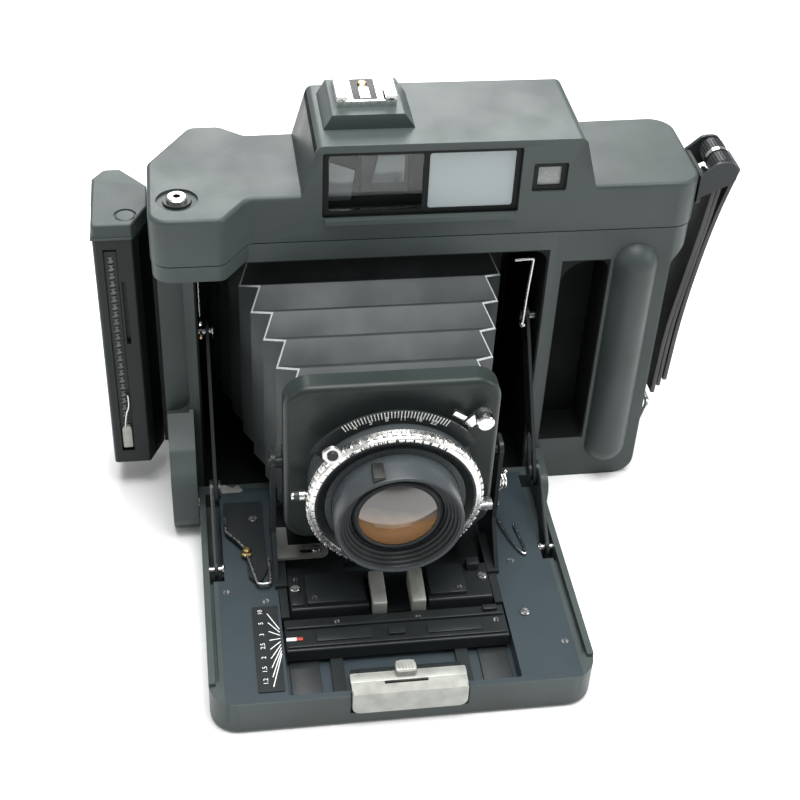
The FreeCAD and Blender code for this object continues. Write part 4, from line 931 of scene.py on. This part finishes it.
class CAMERA_OT_make_deck(bpy.types.Operator):
    """Makes the scale, the plates, the blocks and the springs on the bed"""
    bl_idname = "camera.make_deck"
    bl_label = "Make deck"

    SCALE_TOP = 15.1        # top of the distance scale
    FRONT_BAR_TOP = 15.3
    REAR_BAR_TOP = 17.3
    DECK_TOP = 14.6
    COIL_TURNS = 3.2
    COIL_RADIUS = 3.1
    COIL_STEPS = 40

    def execute(self, context):
        self.scale()
        self.bars()
        self.track()
        self.side_pieces()
        return {"FINISHED"}

    def scale(self):
        """Distance numbers, fan of lines to the index and the index itself."""
        reading, upward = Vector((0, 1, 0)), Vector((-1, 0, 0))
        labels = [(text, at(-47.2, -108 + i * 5.2, self.SCALE_TOP + 0.06), reading, upward)
                  for i, text in enumerate(("1.2", "1.5", "2", "2.5", "3", "5", "10"))]
        lettering("distance_numbers", labels, 1.7, "bed", "white", "black_metal")
        bm = bmesh.new()
        for i in range(9):
            start = Vector((-44.8, -110.5 + i * 4.1))
            end = Vector((-41.0, -96.5 + i * 1.4))
            side = (end - start).orthogonal().normalized() * 0.17
            add_prism(bm, [tuple(start + side), tuple(end + side), tuple(end - side), tuple(start - side)],
                      "xy", self.SCALE_TOP, self.SCALE_TOP + 0.08)
        finish_piece("distance_lines", mesh_from(bm, "distance_lines"), "bed", "white", "black_metal")
        prism("distance_index", rectangle(-39.0, -35.4, -91.6, -90.2), "xy", 15.38, 15.9, "carriage",
              "white", "silver", 0.15)
        prism("distance_index_red", rectangle(-35.4, -33.2, -91.6, -90.2), "xy", 15.38, 15.85, "carriage",
              "red", "dark", 0.15)

    def bars(self):
        """Steps, lugs and rails on the two cross bars, and the finger grips between them."""
        front, rear = self.FRONT_BAR_TOP, self.REAR_BAR_TOP
        prisms("xy", "carriage", "black_metal", "black_metal",
               ("rear_bar_left_block", rectangle(-30.5, -9.4, -77.8, -63.5), rear, 19.2, 0.5),
               ("rear_bar_right_block", rectangle(13.6, 27.0, -77.2, -63.2), rear, 19.0, 0.5),
               ("rear_bar_left_step", rectangle(-36.0, -31.2, -77.5, -72.5), rear, 18.4, 0.4),
               ("rear_bar_right_post", rectangle(28.6, 33.2, -66.0, -62.2), rear, 20.8, 0.5),
               ("front_bar_rail_a", rectangle(-38.6, 38.6, -86.6, -85.4), front, 16.5, 0.3),
               ("front_bar_rail_b", rectangle(-38.6, 38.6, -94.9, -93.9), front, 16.2, 0.3),
               ("front_bar_left_pad", rectangle(-28.5, -9.0, -92.6, -87.8), front, 16.0, 0.3),
               ("front_bar_right_pad", rectangle(10.5, 30.0, -92.6, -87.8), front, 16.0, 0.3),
               ("front_bar_middle_lug", rectangle(-3.2, 2.6, -92.2, -89.4), front, 16.6, 0.3),
               ("front_bar_right_lug", rectangle(31.6, 36.6, -84.6, -82.4), front, 17.0, 0.3))
        outline = [(-81.0, 13.7), (-66.7, 13.7), (-66.7, 22.0), (-73.5, 21.4), (-81.0, 19.8)]
        for name, x in (("left", -7.6), ("right", 6.4)):
            piece = prism("finger_grip_pad_" + name, outline, "yz", x, x + 5.2, "grip_" + name, "pale",
                          "aluminium", 0.7, 3)
            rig.replaces(piece, "finger_grip_" + name)
        spots = [(-33.6, -64.6, 17.4), (24.4, -75.2, 19.0), (-27.8, -75.4, 19.2), (8.2, -85.0, 15.45),
                 (-20.6, -84.2, 15.45), (35.6, -88.8, 15.45)]
        screws("carriage_small_screws", spots, 1.0, "carriage")

    @staticmethod
    def track():
        """What shows in the open track in front of the carriage, and the latch."""
        prisms("xy", "bed", "black_metal", "black_metal",
               ("track_strip_left", rectangle(-38.5, -28.0, -112.5, -16), 8.0, 8.9, 0.3),
               ("track_strip_right", rectangle(28.0, 38.5, -112.5, -16), 8.0, 8.9, 0.3),
               ("track_crosspiece", rectangle(-18.0, 20.5, -107.8, -103.2), 9.2, 12.2, 0.5),
               ("track_crosspiece_step", rectangle(-15.5, 18.0, -107.0, -104.2), 12.2, 13.4, 0.4))
        tab = [(-3.4, -110.9), (3.8, -110.9), (3.8, -107.6), (2.0, -106.2), (-1.6, -106.2), (-3.4, -107.6)]
        prisms("xy", "bed_latch", "pale", "aluminium",
               ("latch_bridge", rectangle(-19.0, 21.0, -112.6, -108.9), 14.9, 16.25, 0.35),
               ("latch_button", tab, 16.2, 18.9, 0.5))
        rib = seed_prism(rectangle(-0.2, 0.2, -1.2, 1.2), "xy", 0, 0.5, 0.1)
        grown("latch_button_ribs", rib, "row", {"Count": 5, "Pitch": (1.1 * MM, 0, 0)},
              at(-2.0, -109.0, 18.8), "bed_latch", "pale", "aluminium")

    def side_pieces(self):
        """Clip, stud, springs and screws beside the carriage."""
        clip = [(-59.5, -7.8), (-56.6, -6.6), (-53.6, -8.8), (-51.4, -7.2), (-49.4, -10.6), (-52.4, -12.6),
                (-54.6, -16.0), (-58.2, -14.2), (-57.6, -11.4)]
        prism("deck_clip", clip, "xy", 11.2, 12.6, "bed", "pale", "aluminium", 0.35)
        spun("catch_stud", [(0, 0), (2.1, 0), (2.1, 0.9), (1.5, 1.3), (1.3, 2.4), (0.8, 2.8), (0, 2.8)],
             (-50.2, -48.6, 16.2), UP, "bed", "brass", "steel")
        coil = []
        for i in range(self.COIL_STEPS):
            share = i / (self.COIL_STEPS - 1)
            angle = 2 * math.pi * self.COIL_TURNS * share
            coil.append((41.9 + 3.6 * share, -44.5 + self.COIL_RADIUS * math.cos(angle),
                         42 + self.COIL_RADIUS * math.sin(angle)))
        arms = [(41.9, -40.8, 52.0), (41.9, -41.2, 47.0)] + coil + [(45.6, -38.0, 33.0), (45.8, -33.0, 20.0)]
        spring = wire("torsion_spring_wire", arms, 0.5, "carriage", "bright", "steel")
        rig.replaces(spring, "torsion_spring")
        bent = [(45.2, -36.5, 16.2), (47.0, -47.0, 16.0), (51.6, -58.0, 15.5), (53.6, -57.0, 15.6),
                (51.2, -42.0, 16.0)]
        wire("deck_return_wire", bent, 0.5, "bed", "bright", "steel")
        places = ((58.0, -100.5), (-58.5, -66.0), (46.7, -60.0), (-44.8, -71.5))
        screws("deck_small_screws", [(x, y, self.DECK_TOP) for x, y in places], 1.2, "bed")


class CAMERA_OT_make_body_trim(bpy.types.Operator):
    """Makes the finder's inside, the shoe's springs, the button's ring and the opening's trim"""
    bl_idname = "camera.make_body_trim"
    bl_label = "Make body trim"

    SHOE_FLOOR = 163.7
    BUTTON = (-68.2, 1.0)

    def execute(self, context):
        self.shoe()
        self.finder()
        self.release()
        self.opening()
        return {"FINISHED"}

    def shoe(self):
        """Spring tongues, contact and the dark floor of the accessory shoe."""
        floor = self.SHOE_FLOOR
        prism("shoe_floor_plate", rectangle(-6.4, 2.0, 18.2, 35.0), "xy", 163.55, 163.75, "root",
              "black_mark", "dark", 0.05)
        prisms("xy", "root", "bright", "silver",
               ("shoe_spring_left", rectangle(-9.2, -7.0, 18.0, 34.2), floor, 164.4, 0.2),
               ("shoe_spring_right", rectangle(2.6, 4.8, 18.0, 34.2), floor, 164.4, 0.2))
        tongue = [(-4.0, 20.0), (-0.4, 20.0), (-0.4, 27.5), (-1.2, 29.0), (-3.2, 29.0), (-4.0, 27.5)]
        prism("shoe_tongue", tongue, "xy", 163.72, 164.3, "root", "silver", "silver", 0.2)
        spun("shoe_contact", [(0, 0), (1.7, 0), (1.7, 0.5), (1.2, 0.8), (0, 0.8)], (-2.2, 31.2, floor), UP,
             "root", "brass", "brass")

    @staticmethod
    def finder():
        """Baffle, prism and lens behind the finder glass."""
        prism("finder_baffle", rectangle(-17.5, 48.5, 129.5, 153.5), "xz", 13.5, 14.3, "root", "inside",
              "dark", 0.1)
        prism("finder_lens_cell", rectangle(-5.0, 12.5, 133.0, 150.5), "xz", 9.0, 13.4, "root",
              "black_metal", "dark", 1.2, 3)
        prisms("xz", "root", "grey_glass", "clear",
               ("finder_prism", [(-1.0, 138.0), (10.5, 138.0), (10.5, 149.0), (1.0, 149.0)], 7.4, 8.9, 0.4),
               ("finder_mirror_plate", [(-15.8, 131.0), (-8.0, 131.0), (-6.8, 143.0), (-15.8, 146.5)], 8.2,
                8.8, 0.2))
        prism("rangefinder_glass", rectangle(56.0, 65.6, 137.9, 146.7), "xz", 1.7, 2.0, "root", "grey_mark",
              "clear", 0.1)

    def release(self):
        """Dark floor of the button's well and the button's bright cap."""
        turned("release_well", [(5.1, 0), (7.1, 0), (7.1, 1.2), (6.6, 1.4), (6.4, 0.9), (5.1, 0.9)],
               at(*self.BUTTON, 132.6), UP, "root", "black_metal", "dark", 48)
        turned("release_button_cap", [(1.35, 1.0), (3.0, 1.0), (3.55, 0.6), (3.55, -1.4), (1.35, -1.4)],
               at(*self.BUTTON, 138.6), UP, "release_button", "silver", "silver", 40)

    @staticmethod
    def opening():
        """Rods, pins and strips along the sides of the bed opening, and the braces' gussets and caps."""
        rod = [(52.0, 2.0, 106.8), (57.8, 2.0, 107.2), (58.9, 2.0, 107.0), (58.9, 2.0, 105.8),
               (58.0, 2.0, 92.0), (57.6, 2.0, 78.5)]
        wire("cover_strut_rod", rod, 0.6, "root", "steel", "steel")
        spun("strut_rod_ball", [(0, -1.4), (0.8, -1.15), (1.3, -0.5), (1.4, 0.2), (1.0, 0.9), (0, 1.3)],
             (57.6, 2.0, 77.4), UP, "root", "bright", "steel", 20)
        wire("left_strip_wire", [(-62.6, 2.2, 110.0), (-62.7, 2.2, 100.0), (-62.6, 2.2, 88.0)], 0.35, "root",
             "steel", "steel")
        pin = [(0, 0), (1.5, 0), (1.6, 0.6), (1.1, 1.1), (0, 1.2)]
        for name, z, material in (("a", 84.5, "bright"), ("b", 78.5, "brass")):
            spun("wall_pin_" + name, pin, (-62.9, 3.0, z), Vector((1, 0, 0)), "root", material, "steel", 20)
        # A dark sheet in the gap between the roller door and the body: painted shade.
        prism("door_hinge_leaf", rectangle(-79.0, -76.9, 20.0, 23.0), "xy", 14.0, 118.0, "root", "inside",
              "dark", 0.2)
        gusset = [(-54.5, 10.2), (-46.0, 10.2), (-37.5, 20.0), (-31.0, 34.0), (-36.0, 33.5), (-48.0, 22.0),
                  (-55.5, 16.5)]
        cap = [(0, 0), (2.6, 0), (2.7, 0.5), (2.1, 1.0), (0, 1.1)]
        for side, word in ((-1, "left"), (1, "right")):
            low, high = sorted((side * 60.9, side * 61.5))
            prism("brace_gusset_" + word, gusset, "yz", low, high, "brace_lower_" + word, "black_metal",
                  "dark", 0.15)
            inward = Vector((-side, 0, 0))
            spun("brace_stud_cap_" + word, cap, (side * 58.6, 8.3, 76.8), inward, "root", "bright", "steel")
            spun("brace_foot_cap_" + word, cap, (side * 59.4, -53.0, 13.5), inward, "bed", "bright", "steel")


class CAMERA_OT_make_strap(bpy.types.Operator):
    """Makes the layered hand strap, its knurled roller and the bracket's rivets"""
    bl_idname = "camera.make_strap"
    bl_label = "Make strap"

    STEPS = 24
    LAYERS = (      # name, line of (x, z) points, thickness, front and rear edge
        ("outer", ((132.9, 138), (128.4, 119), (124.8, 96), (122.2, 70), (121.0, 41)), 1.7, 8.3, 22.7),
        ("middle", ((127.4, 132.4), (125.6, 116), (122.8, 94), (119.9, 68), (118.9, 38)), 1.5, 8.4, 22.6),
        ("inner", ((125.2, 131), (123.6, 114), (120.8, 92), (117.8, 66), (116.8, 35)), 1.7, 8.0, 23.0))

    def smooth(self, spots):
        """Evenly spaced points of a smooth curve through the spots."""
        line = [Vector(p) for p in spots]
        rows = []
        for i in range(self.STEPS + 1):
            share = i / self.STEPS * (len(line) - 1)
            k = min(int(share), len(line) - 2)
            t = share - k
            before, after = line[max(k - 1, 0)], line[min(k + 2, len(line) - 1)]
            a, b = line[k], line[k + 1]
            rows.append(0.5 * ((2 * a) + (b - before) * t + (2 * before - 5 * a + 4 * b - after) * t ** 2
                               + (3 * a - before - 3 * b + after) * t ** 3))
        return rows

    def layer(self, name, spots, thick, low, high):
        """A flat strap along a smooth line, from y = low to high."""
        bm = bmesh.new()
        rows = self.smooth(spots)
        last = None
        for i, spot in enumerate(rows):
            ahead = (rows[min(i + 1, self.STEPS)] - rows[max(i - 1, 0)]).normalized()
            side = Vector((ahead.y, -ahead.x)) * thick / 2
            outside, inside = spot + side, spot - side
            ring = [bm.verts.new(at(p.x, y, p.y))
                    for p, y in ((outside, low), (outside, high), (inside, high), (inside, low))]
            if last is None:
                bm.faces.new(ring)
            else:
                for j in range(4):
                    bm.faces.new((last[j], last[(j + 1) % 4], ring[(j + 1) % 4], ring[j]))
            last = ring
        bm.faces.new(last)
        round_edges(bm, 0.3 * MM, 2, 50)
        return finish_piece(name, mesh_from(bm, name), "root", "strap", "strap")

    def execute(self, context):
        for name, spots, thick, low, high in self.LAYERS:
            piece = self.layer("hand_strap_" + name, spots, thick, low, high)
            if name == "outer":
                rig.replaces(piece, "hand_strap")
        self.roller(context.scene.camera_sizes.roller_ribs)
        rivet = [(0, 0), (1.3, 0), (1.2, 0.6), (0.7, 0.95), (0, 1.0)]
        for name, y in (("front", 9.0), ("rear", 22.0)):
            spun("bracket_rivet_" + name, rivet, (119.2, y, 131.5), Vector((1, 0, 0)), "root", "bright",
                 "silver", 24)
        return {"FINISHED"}

    @staticmethod
    def roller(ribs):
        """Roller in two knurled halves with a bright band between them."""
        centre = (127.0, 15.5, 138.2)
        axis = Vector((0, 1, 0))
        body = [(0, -8.4), (3.9, -8.4), (4.3, -8.0), (4.3, -1.4), (3.7, -1.1), (3.7, 1.1), (4.3, 1.4),
                (4.3, 8.0), (3.9, 8.4), (0, 8.4)]
        piece = spun("strap_roller_body", body, centre, axis, "strap_roller", "black_metal", "silver", 40)
        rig.replaces(piece, "strap_roller")
        rib = seed_prism([(-0.3, -0.3), (0.35, -0.12), (0.35, 0.12), (-0.3, 0.3)], "xz", -3.2, 3.2, 0)
        for name, y in (("front", 10.8), ("rear", 20.2)):
            grown("strap_roller_knurl_" + name, rib.copy(), "ring",
                  {"Count": ribs, "Radius": 4.3 * MM, "Start": 0.0, "Sweep": 2 * math.pi},
                  at(127.0, y, 138.2), "strap_roller", "black_metal", "silver")
        turned("strap_roller_band", rectangle(3.6, 4.75, -0.9, 0.9), at(*centre), axis, "strap_roller",
               "bright", "silver", 40)


class CAMERA_OT_make_door_trim(bpy.types.Operator):
    """Makes the toothed strip, the clip and the seam of the roller door"""
    bl_idname = "camera.make_door_trim"
    bl_label = "Make door trim"

    def execute(self, context):
        door = "roller_door"
        prism("door_strip_bed", rectangle(-95.2, -90.7, 19.5, 111.5), "xz", 11.0, 11.55, door, "black_metal",
              "dark", 0.15)
        tooth = [(-1.3, -1.1), (0.2, -1.5), (1.4, -0.5), (0.5, 0.5), (1.2, 1.4), (-0.9, 1.2), (-0.2, 0.2)]
        grown("door_strip_teeth", seed_prism(tooth, "xz", -0.35, 0.2, 0.12), "row",
              {"Count": context.scene.camera_sizes.strip_teeth, "Pitch": (0, 0, 3.4 * MM)},
              at(-93.0, 10.9, 26.5), door, "steel_dull", "steel")
        clip = [(-94.6, 20.5), (-91.0, 20.5), (-91.0, 30.0), (-91.8, 31.5), (-93.6, 31.5), (-94.6, 30.0)]
        prism("door_clip", clip, "xz", 9.6, 11.0, door, "pale", "silver", 0.35)
        wire("door_clip_wire", [(-93.2, 9.6, 31.0), (-92.6, 9.2, 38.0), (-90.9, 9.4, 41.5),
                                (-91.2, 9.6, 47.0)],
             0.4, door, "steel", "silver")
        lip = [(-99.2, 9.6), (-84.9, 9.6), (-79.0, 22.0), (-79.0, 24.0), (-99.2, 24.0)]
        prism("door_seam_lip", lip, "xy", 117.0, 117.9, door, "body", "body", 0.25)
        spun("door_release_button", [(0, -0.4), (3.4, -0.4), (3.4, 0.1), (3.0, 0.35), (0, 0.45)],
             (-86.7, 16.5, 122.6), UP, door, "body", "body", 36)
        rear = seed_prism(rectangle(-0.7, 0.7, -1.0, 1.0), "xy", 0, 4.0, 0.2)
        grown("door_rear_serration", rear, "row", {"Count": 7, "Pitch": (0, 2.6 * MM, 0)},
              at(-98.2, 26.0, 118.4), door, "body", "body")
        return {"FINISHED"}


class CAMERA_OT_make_back_trim(bpy.types.Operator):
    """Makes the back door's latch with its ribs, and the eyepiece frame"""
    bl_idname = "camera.make_back_trim"
    bl_label = "Make back trim"

    def execute(self, context):
        prism("back_latch_plate", rectangle(-71.0, -61.0, 46, 74), "xz", 69.9, 71.0, "back_door",
              "black_metal", "dark", 0.4)
        prism("back_latch_slider", rectangle(-69.0, -63.0, 54, 70), "xz", 70.9, 72.4, "back_door", "silver",
              "silver", 0.5)
        rib = seed_prism(rectangle(-2.4, 2.4, -0.35, 0.35), "xz", -0.4, 0.3, 0.15)
        grown("back_latch_ribs", rib, "row", {"Count": 6, "Pitch": (0, 0, 2.0 * MM)},
              at(-66.0, 72.5, 57.0), "back_door", "silver", "silver")
        self.eyepiece(44.2, 46.0)
        return {"FINISHED"}

    @staticmethod
    def eyepiece(low, high):
        """A rectangular frame round the eyepiece, from y = low to high."""
        bm = bmesh.new()
        ends = add_prism(bm, rectangle(-5.6, 15.6, 139.4, 153.6), "xz", low, high)[:2]
        outer_low, outer_high = (list(face.verts) for face in ends)
        bmesh.ops.delete(bm, geom=ends, context="FACES_ONLY")
        inner_high, inner_low = ([bm.verts.new(at(u, y, v)) for u, v in rectangle(-3.4, 13.4, 141.4, 151.6)]
                                 for y in (high, low))
        for i in range(4):
            j = (i + 1) % 4
            for a, b in ((outer_high, inner_high), (outer_low, inner_low), (inner_high, inner_low)):
                bm.faces.new((a[i], a[j], b[j], b[i]))
        round_edges(bm, 0.4 * MM, 2)
        finish_piece("eyepiece_frame", mesh_from(bm, "eyepiece_frame"), "root", "black_metal", "dark")


class CAMERA_OT_set_stage(bpy.types.Operator):
    """Makes the floor, the lights, the sky and the camera"""
    bl_idname = "camera.set_stage"
    bl_label = "Set stage"

    FLOOR_HEIGHT = -0.0002      # just below the camera, so that the two don't flicker

    def execute(self, context):
        scene = context.scene
        scene.view_settings.view_transform = "Standard"
        half = scene.camera_sizes.floor_size / 2
        floor = bpy.data.meshes.new("studio_floor")
        corners = [(u, v, self.FLOOR_HEIGHT) for u, v in rectangle(-half, half, -half, half)]
        floor.from_pydata(corners, [], [(0, 1, 2, 3)])
        ground = linked("studio_floor", floor)
        mat, tree, bsdf = shader("studio_paper", (0.93, 0.93, 0.93), 0.9, Specular_IOR_Level=0.1)
        tree.links.new(ramp(tree, noise(tree, coords(tree), 8.0), 0.90, 0.94), bsdf.inputs["Base Color"])
        floor.materials.append(mat)
        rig.stage(ground)
        self.lights()
        self.sky(scene)
        self.camera(scene)
        return {"FINISHED"}

    @staticmethod
    def lights():
        """A large soft light overhead, one behind and a weaker one on each side."""
        aim = Vector((0, -0.03, 0.06))
        plan = [("key", (0.05, -0.05, 1.15), 0.8, 21.0), ("left", (-1.0, -0.3, 0.60), 0.5, 1.6),
                ("right", (1.0, -0.35, 0.55), 0.5, 5.0), ("back", (0.1, 1.0, 0.75), 0.7, 10.0)]
        for name, spot, size, power in plan:
            lamp = bpy.data.lights.new(name, "AREA")
            lamp.size = size
            lamp.energy = power
            holder = linked(name, lamp)
            holder.location = spot
            holder.rotation_mode = "QUATERNION"
            holder.rotation_quaternion = (aim - Vector(spot)).to_track_quat("-Z", "Y")

    @staticmethod
    def sky(scene):
        world = bpy.data.worlds.new("studio")
        world.use_nodes = True
        back = next(n for n in world.node_tree.nodes if n.type == "BACKGROUND")
        back.inputs["Color"].default_value = (1.0, 1.0, 1.0, 1)
        back.inputs["Strength"].default_value = 0.34
        scene.world = world

    @staticmethod
    def camera(scene):
        """Above and to the left of the lens, rolled a little."""
        lens = bpy.data.cameras.new("view")
        lens.lens = 65.8
        lens.sensor_width = 36.0
        lens.clip_start = 0.01
        holder = linked("view", lens)
        right = Vector((0.9894, -0.1381, 0.0441)).normalized()
        ahead = Vector((0.1343, 0.7591, -0.6370)).normalized()
        up = right.cross(ahead)
        turn = Matrix((right, up, -ahead)).transposed().to_4x4()
        holder.matrix_world = Matrix.Translation((-0.0636, -0.4284 + FRONT, 0.4046)) @ turn
        scene.camera = holder


class CAMERA_PT_pieces(bpy.types.Panel):
    """Lists the finishes, the sizes and what can be made"""
    bl_label = "Folding camera"
    bl_idname = "CAMERA_PT_pieces"
    bl_space_type = "VIEW_3D"
    bl_region_type = "UI"
    bl_category = "Camera"

    def draw(self, context):
        scene = context.scene
        for group in (scene.camera_finish, scene.camera_sizes):
            for label in group.__annotations__:
                self.layout.prop(group, label)
        for operator in PIECES:
            self.layout.operator(operator.bl_idname)


PIECES = [c for c in list(globals().values()) if isinstance(c, type) and issubclass(c, bpy.types.Operator)]
SETTINGS = [CameraFinish, CameraSizes]


def register():
    for item in SETTINGS + PIECES + [CAMERA_PT_pieces]:
        bpy.utils.register_class(item)
    bpy.types.Scene.camera_finish = bpy.props.PointerProperty(type=CameraFinish)
    bpy.types.Scene.camera_sizes = bpy.props.PointerProperty(type=CameraSizes)


def unregister():
    del bpy.types.Scene.camera_finish
    del bpy.types.Scene.camera_sizes
    for item in reversed(SETTINGS + PIECES + [CAMERA_PT_pieces]):
        bpy.utils.unregister_class(item)


def main():
    register()
    for operator in PIECES:
        group, name = operator.bl_idname.split(".")
        getattr(getattr(bpy.ops, group), name)()
    bpy.context.view_layer.update()
    shown = [list(c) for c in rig.bounds()]
    with open("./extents.json", "w") as file:
        json.dump({"cad": CAD_BOX, "visual": shown}, file)


if __name__ == "__main__":
    main()
